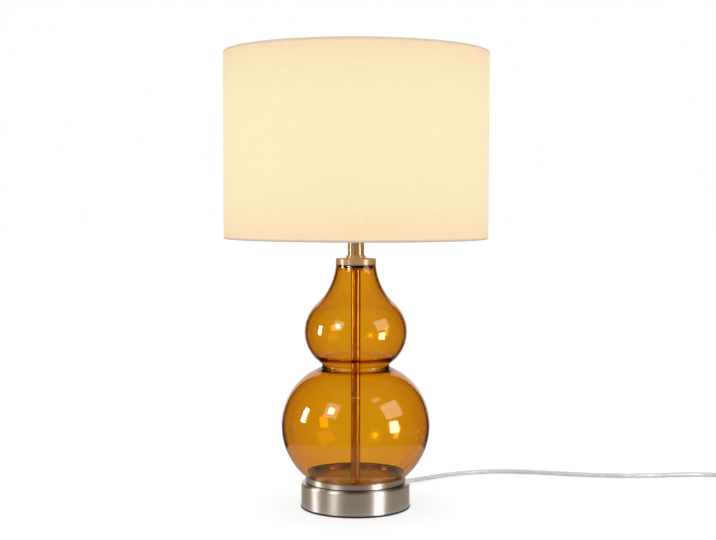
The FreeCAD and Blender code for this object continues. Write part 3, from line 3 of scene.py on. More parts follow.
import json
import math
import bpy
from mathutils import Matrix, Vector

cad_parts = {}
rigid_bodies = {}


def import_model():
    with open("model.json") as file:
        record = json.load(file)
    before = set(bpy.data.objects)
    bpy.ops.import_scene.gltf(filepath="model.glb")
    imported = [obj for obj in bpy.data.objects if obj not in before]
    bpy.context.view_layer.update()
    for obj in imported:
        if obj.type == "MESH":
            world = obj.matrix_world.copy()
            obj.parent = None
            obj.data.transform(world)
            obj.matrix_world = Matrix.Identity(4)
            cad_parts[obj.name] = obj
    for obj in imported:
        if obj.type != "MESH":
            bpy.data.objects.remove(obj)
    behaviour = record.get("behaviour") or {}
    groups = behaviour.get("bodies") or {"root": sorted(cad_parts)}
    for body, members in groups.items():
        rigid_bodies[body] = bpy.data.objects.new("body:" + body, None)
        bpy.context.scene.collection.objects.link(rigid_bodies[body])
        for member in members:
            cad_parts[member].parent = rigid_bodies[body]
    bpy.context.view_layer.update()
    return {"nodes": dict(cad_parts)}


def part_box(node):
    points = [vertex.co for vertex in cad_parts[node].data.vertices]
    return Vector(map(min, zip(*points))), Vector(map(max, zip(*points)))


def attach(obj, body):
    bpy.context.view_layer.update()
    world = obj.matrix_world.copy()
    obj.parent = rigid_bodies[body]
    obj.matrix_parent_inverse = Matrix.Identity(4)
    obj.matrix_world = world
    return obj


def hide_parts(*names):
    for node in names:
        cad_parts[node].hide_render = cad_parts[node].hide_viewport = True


bl_info = {
    "name": "Double gourd lamp",
    "version": (1, 0, 0),
    "blender": (4, 5, 0),
    "location": "View3D > Sidebar > Lamp",
    "description": "Builds the surfaces and finishes of a table lamp on its CAD frame",
    "category": "Object",
}

import bpy
import numpy as np
from bpy.props import FloatProperty, FloatVectorProperty, IntProperty, PointerProperty
from mathutils import Matrix

for left_over in list(bpy.data.objects):
    bpy.data.objects.remove(left_over)
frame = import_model()

MM = 0.001
# less than any size on the lamp, in metres
TINY = 1e-9
UV_MAP = "weave"
# the way round that is the back of the lamp, in radians
BACK = math.pi / 2
# the bulb's thread, and the cloth's lap at the back of the shade
PITCH, LAP = 3.62 * MM, 10 * MM
# the hole round the threaded pipe in what is strung on it, in millimetres
BORE = 4.3
# colours that several finishes share
WHITE, ZINC, BRASS = (0.80, 0.79, 0.76), (0.62, 0.62, 0.60), (0.78, 0.60, 0.28)
WHITE_LIGHT = (1.0, 1.0, 1.0)


# Surfaces


def straight(start, end, steps):
    """Points on a line between two places, the last one left out."""
    share = np.linspace(0, 1, steps, endpoint=False)[:, None]
    return np.asarray(start, float) * (1 - share) + np.asarray(end, float) * share


def arc(centre, radius, start, end, steps):
    """centre + radius (cos a, sin a), for a from start to end in radians, the last one left out."""
    angle = np.linspace(start, end, steps, endpoint=False)
    return np.column_stack((centre[0] + radius * np.cos(angle), centre[1] + radius * np.sin(angle)))


def rounded(corners, radii, steps=6):
    """A closed outline of corners, each replaced by an arc that touches its two sides.

    An arc starts radius / tan(half the corner's angle) before the corner and ends as far after it.
    """
    corners = np.asarray(corners, float)
    before = np.roll(corners, 1, axis=0) - corners
    after = np.roll(corners, -1, axis=0) - corners
    before /= np.linalg.norm(before, axis=1)[:, None]
    after /= np.linalg.norm(after, axis=1)[:, None]
    half = np.arccos(np.clip((before * after).sum(1), -1, 1)) / 2
    radii = np.asarray(radii, float)
    reach = radii / np.tan(half)
    middle = before + after
    middle /= np.linalg.norm(middle, axis=1)[:, None]
    centre = corners + middle * (radii / np.sin(half))[:, None]
    first = corners + before * reach[:, None] - centre
    last = corners + after * reach[:, None] - centre
    share = np.linspace(0, 1, steps)[None, :, None]
    turn = math.pi / 2 - half
    swing = np.maximum(np.sin(2 * turn), TINY)[:, None, None]
    weight_first = np.sin((1 - share) * 2 * turn[:, None, None]) / swing
    weight_last = np.sin(share * 2 * turn[:, None, None]) / swing
    points = centre[:, None] + weight_first * first[:, None] + weight_last * last[:, None]
    sharp = radii < TINY
    points[sharp] = corners[sharp][:, None]
    points = points.reshape(-1, 2)
    keep = np.linalg.norm(points - np.roll(points, 1, axis=0), axis=1) > 10 * TINY
    return points[keep]


def turned(node):
    """A turned node's outer radius, low level and high level in millimetres, from the frame."""
    low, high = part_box(node)
    return tuple(round(value / MM, 2) for value in (high[0], low[2], high[2]))


def section(*corners):
    """A turned piece's outline from (radius, height) corners in millimetres.

    A third number in a corner is the radius of its rounding.
    """
    places = np.array([corner[:2] for corner in corners], float) * MM
    radii = [(corner[2] if len(corner) > 2 else 0.0) * MM for corner in corners]
    return rounded(places, radii)


def ring(node, inner, edges=(0, 0, 0, 0)):
    """The section of a plain ring, from an inner radius to the node's own.

    The edges are the roundings of its corners: low inner, low outer, high outer and high inner.
    """
    radius, low, high = turned(node)
    places = ((inner, low), (radius, low), (radius, high), (inner, high))
    return section(*((*place, edge) for place, edge in zip(places, edges)))


def cup(node, hole, wall, edge=0):
    """The section of a drawn cup: a wall and a floor with a hole, with a rounded edge where they meet."""
    radius, low, high = turned(node)
    inside, floor = radius - wall, low + wall
    return section(
        (hole, low), (radius, low, edge), (radius, high), (inside, high), (inside, floor), (hole, floor)
    )


def filled(outline, low, high, step):
    """An outline with points no further apart than the step on its upright sides between two levels.

    The levels and the step are in millimetres.
    """
    after = np.roll(outline, -1, axis=0)
    length = np.linalg.norm(after - outline, axis=1)
    bottom, top = np.minimum(outline[:, 1], after[:, 1]), np.maximum(outline[:, 1], after[:, 1])
    upright = np.abs(after[:, 0] - outline[:, 0]) < 100 * TINY
    chosen = upright & (bottom < high * MM) & (top > low * MM)
    parts = np.where(chosen, np.ceil(length / (step * MM)), 1).astype(int)
    which = np.repeat(np.arange(len(outline)), parts)
    share = (np.arange(len(which)) - np.repeat(np.cumsum(parts) - parts, parts)) / parts[which]
    return outline[which] + (after - outline)[which] * share[:, None]


def grid_faces(rows, columns, closed_rows, closed_columns):
    """Index quads of a grid of rows and columns, turned so that rows go up on an outward face."""
    row = np.arange(rows if closed_rows else rows - 1)[:, None]
    column = np.arange(columns if closed_columns else columns - 1)[None, :]
    next_row = (row + 1) % rows
    next_column = (column + 1) % columns
    corners = (
        row * columns + column,
        row * columns + next_column,
        next_row * columns + next_column,
        next_row * columns + column,
    )
    return np.stack([corner.ravel() for corner in corners], 1)


def new_mesh(name, points, faces, uv=None, sharp=40.0):
    """A mesh object of those points and faces, smooth but for edges sharper than the angle."""
    mesh = bpy.data.meshes.new(name)
    mesh.from_pydata(np.asarray(points, float).tolist(), [], faces)
    if uv is not None:
        layer = mesh.uv_layers.new(name=UV_MAP)
        layer.data.foreach_set("uv", np.asarray(uv, np.float32).ravel())
    mesh.polygons.foreach_set("use_smooth", np.ones(len(mesh.polygons), bool))
    mesh.set_sharp_from_angle(angle=math.radians(sharp))
    mesh.validate()
    mesh.update()
    piece = bpy.data.objects.new(name, mesh)
    bpy.context.scene.collection.objects.link(piece)
    evened = piece.modifiers.new("evened", "WEIGHTED_NORMAL")
    evened.keep_sharp = True
    return piece


def revolve(name, outline, segments=160, sharp=40.0, worked=None, start=0.0):
    """An outline turned about Z: S(u, v) = (r cos v, r sin v, z(u)), with u round the outline and v round Z.

    r is the outline's r(u), or worked(r(u), z(u), v) where the piece is threaded, ribbed or lapped. The two
    ends close in a pole each where they are on the axis, and in each other elsewhere.
    The UV map holds metres: the way round at the outline's largest radius, and the way along the outline.
    """
    outline = np.asarray(outline, float)
    r, z = outline[:, 0], outline[:, 1]
    after_r, after_z = np.roll(r, -1), np.roll(z, -1)
    if (r * after_z - after_r * z).sum() < 0:
        outline = outline[::-1]
        r, z = outline[:, 0], outline[:, 1]
    poles = r[0] < TINY and r[-1] < TINY
    ring_rows = outline[1:-1] if poles else outline
    angle = start + np.arange(segments) * 2 * math.pi / segments
    reach, level = ring_rows[:, :1] + 0 * angle, ring_rows[:, 1:] + 0 * angle
    if worked:
        reach = worked(reach, level, angle)
    points = np.stack((reach * np.cos(angle), reach * np.sin(angle), level), -1).reshape(-1, 3)
    rows = len(ring_rows)
    quads = grid_faces(rows, segments, not poles, True)
    along = np.r_[0, np.cumsum(np.linalg.norm(np.diff(ring_rows, axis=0), axis=1))]
    closing = along[-1] + np.linalg.norm(ring_rows[0] - ring_rows[-1])
    round_step = 2 * math.pi / segments * r.max()
    row, column = quads[:, 0] // segments, quads[:, 0] % segments
    top = np.r_[along[1:], closing][row]
    way_round = np.stack((column, column + 1, column + 1, column), 1) * round_step
    way_along = np.stack((along[row], along[row], top, top), 1)
    uv = np.stack((way_round, way_along), -1).reshape(-1, 2)
    faces = quads.tolist()
    if poles:
        k = np.arange(segments)
        after = (k + 1) % segments
        low_pole, last_row = np.full(segments, len(points)), (rows - 1) * segments
        points = np.vstack((points, (0, 0, z[0]), (0, 0, z[-1])))
        faces += np.stack((after, k, low_pole), 1).tolist()
        faces += np.stack((last_row + k, last_row + after, low_pole + 1), 1).tolist()
        for one, other, way in ((k + 1, k, 0.0), (k, k + 1, along[-1])):
            way_round = np.stack((one, other, k + 0.5), 1) * round_step
            fan = np.stack((way_round, np.full(way_round.shape, way)), -1)
            uv = np.vstack((uv, fan.reshape(-1, 2)))
    return new_mesh(name, points, faces, uv, sharp)


def smooth(share):
    """A smooth step from 0 to 1: 3 s^2 - 2 s^3."""
    return share * share * (3 - 2 * share)


def thread(low, high, depth, reach):
    """A rolled thread: r falls by depth (1 - cos(2 pi z / p - v)) / 2 between two levels.

    It fades out over half a pitch p at both, and is worked into what lies further out than the reach. All
    are in millimetres.
    """

    def worked(r, z, v):
        fade = smooth(np.clip(np.minimum(z - low * MM, high * MM - z) / (0.5 * PITCH), 0, 1))
        wave = (1 - np.cos(2 * math.pi * z / PITCH - v)) / 2
        return r - np.where(r > reach * MM, depth * MM * fade * wave, 0)

    return worked


def welded(name, node, sharp):
    """A node's own shape with its loose corners joined: vertices that share a place become one."""
    source = frame["nodes"][node].data
    places = np.empty(len(source.vertices) * 3)
    source.vertices.foreach_get("co", places)
    points, back = np.unique(np.round(places.reshape(-1, 3), 7), axis=0, return_inverse=True)
    corners = np.empty(len(source.loops), int)
    source.loops.foreach_get("vertex_index", corners)
    faces = back.ravel()[corners].reshape(-1, 3)
    whole = (faces != np.roll(faces, 1, axis=1)).all(1)
    return new_mesh(name, points, faces[whole].tolist(), None, sharp)


def put_on(piece, material, body, slot, *nodes):
    """Gives a piece its finish and the body it moves with, and hides the nodes it stands for. The slot is not
    used.
    """
    piece.data.materials.clear()
    piece.data.materials.append(material)
    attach(piece, body)
    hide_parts(*nodes)
    return piece


def dress(name, node, material, body, slot, sharp):
    """A piece in a node's own shape that takes its place."""
    return put_on(welded(name, node, sharp), material, body, slot, node)


def finish_nodes(material, *nodes):
    """Gives CAD nodes that stay their finish."""
    for node in nodes:
        for entry in frame["nodes"][node].material_slots:
            entry.material = material


# Finishes


class Nodes:
    """An emptied node tree, with short calls for what goes into it."""

    def __init__(self, owner):
        owner.use_nodes = True
        self.tree = owner.node_tree
        self.tree.nodes.clear()

    def feed(self, socket, value):
        """Gives a socket a number, a colour or another node's output."""
        if isinstance(value, bpy.types.NodeSocket):
            self.tree.links.new(value, socket)
        else:
            socket.default_value = value

    def node(self, kind, inputs=None, **settings):
        """A node with its settings and what feeds its inputs."""
        made = self.tree.nodes.new(kind)
        for name, value in settings.items():
            setattr(made, name, value)
        for name, value in (inputs or {}).items():
            self.feed(made.inputs[name], value)
        return made

    def math(self, kind, *values, clamp=False):
        """One step of arithmetic on numbers or outputs."""
        made = self.node("ShaderNodeMath", dict(enumerate(values)), operation=kind, use_clamp=clamp)
        return made.outputs["Value"]

    def between(self, value, low, high, start=0.0, end=1.0, **settings):
        """A number from low to high as the value goes from start to end."""
        inputs = {"Value": value, "From Min": start, "From Max": end, "To Min": low, "To Max": high}
        return self.node("ShaderNodeMapRange", inputs, **settings).outputs["Result"]

    def emission(self, colour, strength):
        """Light of a colour."""
        return self.node("ShaderNodeEmission", {"Color": (*colour, 1.0), "Strength": strength}).outputs[0]


class Finish(Nodes):
    """One material round a principled shader, with the patterns that the finishes share."""

    def __init__(self, name):
        self.material = bpy.data.materials.new(name)
        super().__init__(self.material)
        self.shader = self.node("ShaderNodeBsdfPrincipled")
        self.end = self.node("ShaderNodeOutputMaterial", {"Surface": self.shader.outputs["BSDF"]})

    def set(self, **values):
        """Numbers, colours or outputs on the shader's own sockets, with _ for a space."""
        for name, value in values.items():
            self.feed(self.shader.inputs[name.replace("_", " ")], value)

    def place(self):
        """Object coordinates."""
        return self.node("ShaderNodeTexCoord").outputs["Object"]

    def height(self):
        """The height above the floor."""
        return self.node("ShaderNodeSeparateXYZ", {"Vector": self.place()}).outputs["Z"]

    def on_cloth(self):
        """The piece's UV map in metres."""
        return self.node("ShaderNodeUVMap", uv_map=UV_MAP).outputs["UV"]

    def noise(self, rates, detail=2.0, roughness=0.5, where=None):
        """Noise with its rates for each metre on three axes, on Object coordinates or those given."""
        inputs = {"Vector": where or self.place(), "Scale": rates}
        spread = self.node("ShaderNodeMapping", inputs).outputs["Vector"]
        inputs = {"Vector": spread, "Scale": 1.0, "Detail": detail, "Roughness": roughness}
        return self.node("ShaderNodeTexNoise", inputs).outputs["Fac"]

    def ramp(self, share, *stops):
        """A colour ramp of (place, colour) stops."""
        made = self.node("ShaderNodeValToRGB", {"Fac": share})
        elements = made.color_ramp.elements
        while len(elements) < len(stops):
            elements.new(0.5)
        for element, (place, colour) in zip(elements, stops):
            element.position = place
            element.color = (*colour, 1.0)
        return made.outputs["Color"]

    def mix(self, share, first, second):
        """The first number or colour where the share is 0 and the second where it is 1."""
        kind, at, out = ("FLOAT", 2, 0) if isinstance(second, float) else ("RGBA", 6, 2)
        inputs = {0: share, at: first, at + 1: second}
        return self.node("ShaderNodeMix", inputs, data_type=kind).outputs[out]

    def bump(self, height, distance, strength=1.0):
        """Relief from a height pattern. It comes last, and gives back the finished material."""
        inputs = {"Height": height, "Distance": distance, "Strength": strength}
        self.set(Normal=self.node("ShaderNodeBump", inputs).outputs["Normal"])
        return self.material


def dimmed(colour, share):
    """A colour at a share of its brightness."""
    return tuple(channel * share for channel in colour)


def felt():
    """Pressed felt: short fibres on Object coordinates, dark grey."""
    f = Finish("pressed felt")
    fibres = f.noise((900, 900, 2500), detail=4.0, roughness=0.7)
    f.set(
        Base_Color=f.ramp(fibres, (0.3, (0.010, 0.010, 0.012)), (0.7, (0.035, 0.034, 0.036))),
        Roughness=f.between(fibres, 0.85, 1.0),
        Sheen_Weight=0.3,
    )
    return f.bump(fibres, 0.4 * MM)


def spun_nickel(name="spun nickel", colour=(0.77, 0.695, 0.65), rough=0.42, metal=1.0, band=None):
    """Plate over turned steel: fine lines round the axis, their grain on Object coordinates.

    A band is a low and a high level and the colour painted dull between them, for painted shade and
    highlights.
    """
    f = Finish(name)
    lines = f.noise((14, 14, 5200), detail=3.0, roughness=0.6)
    patches = f.noise((30, 30, 60), detail=3.0)
    looks = {
        "Base_Color": f.ramp(patches, (0.3, dimmed(colour, 0.93)), (0.7, colour)),
        "Metallic": metal,
        "Roughness": f.between(lines, rough - 0.06, rough + 0.08),
    }
    if band:
        low, high, painted_band = band
        dull = {"Base_Color": (*painted_band, 1.0), "Metallic": 0.0, "Roughness": 0.6}
        inside = f.math("COMPARE", f.height(), (low + high) / 2, (high - low) / 2)
        looks = {socket: f.mix(inside, look, dull[socket]) for socket, look in looks.items()}
    tangent = f.node("ShaderNodeTangent", direction_type="RADIAL", axis="Z").outputs["Tangent"]
    f.set(**looks, Anisotropic=0.95, Anisotropic_Rotation=0.25, Tangent=tangent)
    return f.bump(lines, 0.01 * MM, strength=0.4)


def plain_metal(name, colour, rough):
    """A plain metal with a fine grain and slight cloudiness on Object coordinates."""
    f = Finish(name)
    fine = f.noise((400, 400, 400), detail=4.0, roughness=0.6)
    cloud = f.noise((60, 60, 60))
    f.set(
        Base_Color=f.ramp(cloud, (0.3, dimmed(colour, 0.85)), (0.7, colour)),
        Metallic=1.0,
        Roughness=f.between(fine, rough - 0.05, rough + 0.1),
    )
    return f.bump(fine, 0.01 * MM, strength=0.5)


def cast_iron():
    """Sand casting: pits of many sizes on Object coordinates, dark and dull."""
    f = Finish("cast iron")
    pits = f.noise((500, 500, 500), detail=6.0, roughness=0.7)
    f.set(
        Base_Color=f.ramp(pits, (0.3, (0.03, 0.03, 0.03)), (0.75, (0.10, 0.095, 0.09))),
        Metallic=0.6,
        Roughness=f.between(pits, 0.6, 0.85),
    )
    return f.bump(pits, 0.4 * MM)


def amber_glass(settings):
    """Blown glass coloured through: the long way through a wall's edge is darker than the way across it."""
    f = Finish("amber glass")
    body = {"Color": (*settings.body_colour, 1.0), "Density": settings.density}
    f.feed(f.end.inputs["Volume"], f.node("ShaderNodeVolumeAbsorption", body).outputs["Volume"])
    f.set(Base_Color=(1.0, 0.985, 0.95, 1.0), Roughness=0.0, IOR=1.5, Transmission_Weight=1.0)
    return f.bump(f.noise((9, 9, 22), detail=2.0, roughness=0.4), 0.6 * MM, strength=0.35)


def clear_rubber():
    """A clear soft washer, slightly milky."""
    f = Finish("clear rubber")
    cloud = f.noise((300, 300, 300), detail=3.0)
    f.set(
        Base_Color=f.ramp(cloud, (0.3, (0.62, 0.60, 0.56)), (0.7, (0.74, 0.72, 0.68))),
        Roughness=f.between(cloud, 0.25, 0.4),
        Transmission_Weight=0.55,
        IOR=1.45,
    )
    return f.bump(cloud, 0.1 * MM, strength=0.4)


def moulded(name, colour, rough):
    """Moulded plastic: a fine flow grain on Object coordinates and slightly uneven gloss."""
    f = Finish(name)
    fine = f.noise((700, 700, 700), detail=3.0)
    flow = f.noise((40, 40, 90))
    f.set(
        Base_Color=f.ramp(flow, (0.25, dimmed(colour, 0.93)), (0.75, colour)),
        Roughness=f.between(flow, rough - 0.05, rough + 0.08),
    )
    return f.bump(fine, 0.02 * MM, strength=0.5)


def clear_flex(settings):
    """The flex's clear sleeve: a pale translucent skin with a soft shine."""
    f = Finish("clear flex")
    flow = f.noise((120, 120, 120))
    f.set(
        Base_Color=f.ramp(flow, (0.3, dimmed(settings.colour, 0.86)), (0.7, settings.colour)),
        Roughness=f.between(flow, 0.16, 0.26),
        Transmission_Weight=0.5,
        IOR=1.5,
        Coat_Weight=0.3,
    )
    return f.bump(flow, 0.1 * MM, strength=0.3)


def lap_share(f, way_round):
    """0.45 where the cloth's ends lap at the back and 0 elsewhere, by the way round on the UV map."""
    whole = 2 * math.pi * turned("shade_fabric")[0] * MM
    off = f.math("MINIMUM", way_round, f.math("SUBTRACT", whole, way_round))
    return f.between(off, 0.45, 0.0, LAP / 2 - 0.5 * MM, LAP / 2 + 0.5 * MM)


def lit_cloth(settings, low, high):
    """Cream cloth whose light from the bulb is painted into its emission, brightest at the bulb's level and
    dull where the hem doubles it.

    The weave is sin(pi u / p) sin(pi v / p) on the UV map, and slubs run along both threads.
    """
    f = Finish("shade cloth")
    where = f.on_cloth()
    split = f.node("ShaderNodeSeparateXYZ", {"Vector": where}).outputs
    rate = math.pi / settings.thread
    across = f.math("SINE", f.math("MULTIPLY", split["X"], rate))
    along = f.math("SINE", f.math("MULTIPLY", split["Y"], rate * 0.9))
    crossing = f.between(f.math("MULTIPLY", across, along), 0.0, 1.0)
    slubs = f.math("ADD", f.noise((1100, 28, 1), where=where), f.noise((28, 1000, 1), where=where))
    cloud = f.between(f.noise((70, 45, 1), detail=3.0, where=where), -0.12, 0.16)
    edge, bright, hem = settings.edge_glow, settings.glow, settings.hem_glow
    middle = tuple((a + 2 * b) / 3 for a, b in zip(edge, bright))
    stops = (
        (0.0, hem),
        (0.008, hem),
        (0.016, edge),
        (0.17, middle),
        (0.38, bright),
        (0.72, bright),
        (0.86, middle),
        (0.984, edge),
        (0.992, hem),
        (1.0, hem),
    )
    glow = f.ramp(f.between(f.height(), 0.0, 1.0, low, high), *stops)
    # the painted glow is dimmer at slubs and in a random cloud, and painted dimmer at the lap where the cloth
    # lies double
    dull = f.math("ADD", f.math("ADD", f.between(slubs, 0.0, 0.12), cloud), lap_share(f, split["X"]))
    f.set(
        Base_Color=f.ramp(slubs, (0.75, (0.60, 0.545, 0.44)), (1.25, (0.66, 0.60, 0.50))),
        Roughness=0.9,
        Sheen_Weight=0.15,
        Emission_Color=f.mix(dull, glow, (*edge, 1.0)),
        Emission_Strength=settings.strength,
    )
    relief = f.math("ADD", f.math("MULTIPLY", crossing, 0.5), f.math("MULTIPLY", slubs, 0.5))
    return f.bump(relief, 0.12 * MM)


def lining_film():
    """White film behind the cloth, lit by the bulb, with a warm glow also painted into its emission."""
    f = Finish("lining film")
    cloud = f.noise((80, 80, 80))
    f.set(
        Base_Color=f.ramp(cloud, (0.3, (0.66, 0.63, 0.58)), (0.7, (0.72, 0.69, 0.64))),
        Roughness=f.between(cloud, 0.45, 0.6),
        Emission_Color=f.ramp(cloud, (0.3, (0.95, 0.74, 0.44)), (0.7, (1.0, 0.80, 0.50))),
        Emission_Strength=0.42,
    )
    return f.bump(cloud, 0.1 * MM, strength=0.3)


def opal_bulb():
    """Opal glass lit from within, redder at its neck than at its crown."""
    f = Finish("opal glass")
    neck, crown = 345 * MM, 431 * MM
    share = f.between(f.height(), 0.0, 1.0, neck, crown)
    f.set(
        Base_Color=f.ramp(share, (0.0, (0.50, 0.48, 0.45)), (1.0, (0.56, 0.54, 0.51))),
        Roughness=0.2,
        Coat_Weight=0.4,
        Emission_Color=f.ramp(
            share, (0.0, (1.0, 0.55, 0.24)), (0.35, (1.0, 0.74, 0.42)), (1.0, (1.0, 0.80, 0.50))
        ),
        Emission_Strength=0.5,
    )
    return f.material


def strap_weave():
    """Woven strap: crossings on Object coordinates."""
    f = Finish("woven strap")
    threads = f.node("ShaderNodeTexChecker", {"Vector": f.place(), "Scale": 1400.0}).outputs["Fac"]
    fuzz = f.noise((900, 900, 900), detail=3.0)
    f.set(
        Base_Color=f.ramp(fuzz, (0.3, (0.015, 0.015, 0.016)), (0.7, (0.04, 0.04, 0.042))),
        Roughness=0.85,
        Sheen_Weight=0.2,
    )
    return f.bump(f.math("ADD", threads, fuzz), 0.1 * MM)


# Sizes and colours


class GlassSettings(bpy.types.PropertyGroup):
    """The glass."""

    wall: FloatProperty(
        name="Wall", description="Thickness of the glass", default=3.0 * MM, subtype="DISTANCE", unit="LENGTH"
    )
    waist_wall: FloatProperty(
        name="Waist wall",
        description="How much thicker the glass is where it was pinched",
        default=2.1 * MM,
        subtype="DISTANCE",
        unit="LENGTH",
    )
    density: FloatProperty(
        name="Depth of colour", description="Absorption in the glass for each metre", default=1000.0, min=0
    )
    body_colour: FloatVectorProperty(
        name="Body colour",
        description="Colour of the light that the glass lets through",
        subtype="COLOR",
        default=(0.932, 0.792, 0.005),
        min=0,
        max=1,
    )
    segments: IntProperty(name="Segments", description="Faces round the glass", default=160, min=48)


class ShadeSettings(bpy.types.PropertyGroup):
    """The shade's cloth and the light that comes through it."""

    thread: FloatProperty(
        name="Thread",
        description="Pitch of the weave",
        default=0.6203 * MM,
        subtype="DISTANCE",
        unit="LENGTH",
    )
    glow: FloatVectorProperty(
        name="Glow",
        description="Light through the cloth at the bulb",
        subtype="COLOR",
        default=(1.0, 0.85, 0.38),
    )
    edge_glow: FloatVectorProperty(
        name="Edge glow",
        description="Light through the cloth near its hems",
        subtype="COLOR",
        default=(0.96, 0.60, 0.22),
    )
    hem_glow: FloatVectorProperty(
        name="Hem glow",
        description="Light through the doubled hem",
        subtype="COLOR",
        default=(0.30, 0.20, 0.18),
    )
    strength: FloatProperty(name="Strength", description="Strength of the glow", default=0.52, min=0)


class FlexSettings(bpy.types.PropertyGroup):
    """The flex."""

    diameter: FloatProperty(
        name="Diameter",
        description="Outer diameter of the flex",
        default=5.2 * MM,
        subtype="DISTANCE",
        unit="LENGTH",
    )
    colour: FloatVectorProperty(
        name="Colour", description="Colour of the flex", subtype="COLOR", default=(0.97, 0.965, 0.96)
    )
    turns: IntProperty(name="Turns", description="Turns of the stored coil", default=6, min=1)


class StageSettings(bpy.types.PropertyGroup):
    """The camera, the floor, the room's light, and the cards that only reflections show."""

    lens: FloatProperty(name="Lens", description="Focal length in millimetres", default=65.87)
    camera_place: FloatVectorProperty(
        name="Camera",
        description="Place of the camera",
        subtype="XYZ",
        unit="LENGTH",
        default=(0.00222, -1.390, 0.3253),
    )
    pitch: FloatProperty(
        name="Tilt", description="Downward tilt of the camera", subtype="ANGLE", default=0.0521
    )
    roll: FloatProperty(name="Roll", description="Roll of the camera", subtype="ANGLE", default=0.0022)
    light: FloatProperty(
        name="Light", description="Strength of all lamps together", default=1.0, min=0
    )
    room: FloatProperty(name="Room", description="Light of the room on the object", default=0.85, min=0)
    floor_grey: FloatProperty(
        name="Floor grey",
        description="Part of the floor's white that takes the shadow",
        default=0.62,
        min=0,
        max=1,
    )
    floor_glow: FloatProperty(
        name="Floor glow",
        description="Part of the floor's white that takes no shadow",
        default=0.575,
        min=0,
    )
    floor_tint: FloatVectorProperty(
        name="Floor tint",
        description="Colour of the floor's glow, against the shade's warm light on it",
        subtype="COLOR",
        default=(0.95, 0.985, 1.0),
    )
    card_angle: FloatProperty(
        name="Card angle",
        description="Half of the wall card's arc",
        subtype="ANGLE",
        default=math.radians(152.0),
    )
    card_colour: FloatVectorProperty(
        name="Card colour", description="Colour of the dim cards", subtype="COLOR", default=(1.0, 0.87, 0.68)
    )
    card_wall: FloatProperty(name="Wall card", description="Light of the wall card", default=0.06, min=0)
    card_ceiling: FloatProperty(
        name="Ceiling card", description="Light of the ceiling card", default=0.1, min=0
    )
    card_floor: FloatProperty(
        name="Floor card", description="Light of the floor card", default=0.62, min=0
    )
    card_shade: FloatProperty(
        name="Shade card", description="Light of the card under the shade", default=0.15, min=0
    )
    card_reach: FloatProperty(
        name="Floor card's reach",
        description="Where the bright ring of the floor card ends",
        default=0.24,
        subtype="DISTANCE",
        unit="LENGTH",
    )


# Glass


def circle_meet(low, low_radius, high, high_radius):
    """The centre of a fillet: where two circles round low and high meet, on the side away from the axis."""
    low, high = np.asarray(low, float), np.asarray(high, float)
    apart = np.linalg.norm(high - low)
    unit = (high - low) / apart
    along = (apart**2 + low_radius**2 - high_radius**2) / (2 * apart)
    across = math.sqrt(low_radius**2 - along**2)
    return low + unit * along + np.array([unit[1], -unit[0]]) * across


def direction_of(place, centre):
    """The angle at which a place is seen from a centre."""
    return math.atan2(place[1] - centre[1], place[0] - centre[0])


def gourd_side(inset, foot, mouth, steps):
    """One side of the blown wall from its foot's radius to its mouth's level, by six arcs that touch.

    The lower bulb is an arc below its widest level and a smaller one above it, the waist is a small hollow
    arc, the upper bulb is two arcs, and the throat is a large hollow one. An inset makes each bulge's radius
    smaller and each hollow's radius larger by the wall. All is in metres.
    """
    widest, widest_level = 79.3 * MM, 88 * MM
    below, above = 72.0 * MM, 65.5 * MM
    upper, upper_level = 54.9 * MM, 187 * MM
    rise, waist, throat = 40.0 * MM, 3.0 * MM, 64.0 * MM
    throat_centre = np.array([21.2 * MM + throat, 264 * MM])
    below_centre = np.array([widest - below, widest_level])
    above_centre = np.array([widest - above, widest_level])
    rise_centre = np.array([upper - rise, upper_level])
    waist_centre = circle_meet(above_centre, above + waist, rise_centre, rise + waist)
    # the bowl's radius is the one that touches both the upper bulb's widest level and the throat
    gap = throat_centre - np.array([upper, upper_level])
    bowl = (gap @ gap - throat**2) / (2 * (throat - gap[0]))
    bowl_centre = np.array([upper - bowl, upper_level])
    start = -math.acos((foot - below_centre[0]) / (below - inset))
    to_waist = direction_of(waist_centre, above_centre)
    from_waist = direction_of(waist_centre, rise_centre)
    to_throat = direction_of(throat_centre, bowl_centre)
    hollow = throat + inset
    end = math.pi + math.asin((throat_centre[1] - mouth) / hollow)
    return np.vstack(
        (
            arc(below_centre, below - inset, start, 0, steps * 2),
            arc(above_centre, above - inset, 0, to_waist, steps * 2),
            arc(waist_centre, waist + inset, to_waist + math.pi, from_waist + math.pi, steps),
            arc(rise_centre, rise - inset, from_waist, 0, steps),
            arc(bowl_centre, bowl - inset, 0, to_throat, steps),
            arc(throat_centre, hollow, to_throat + math.pi, end, steps),
            [[throat_centre[0] + hollow * math.cos(end), mouth]],
        )
    )


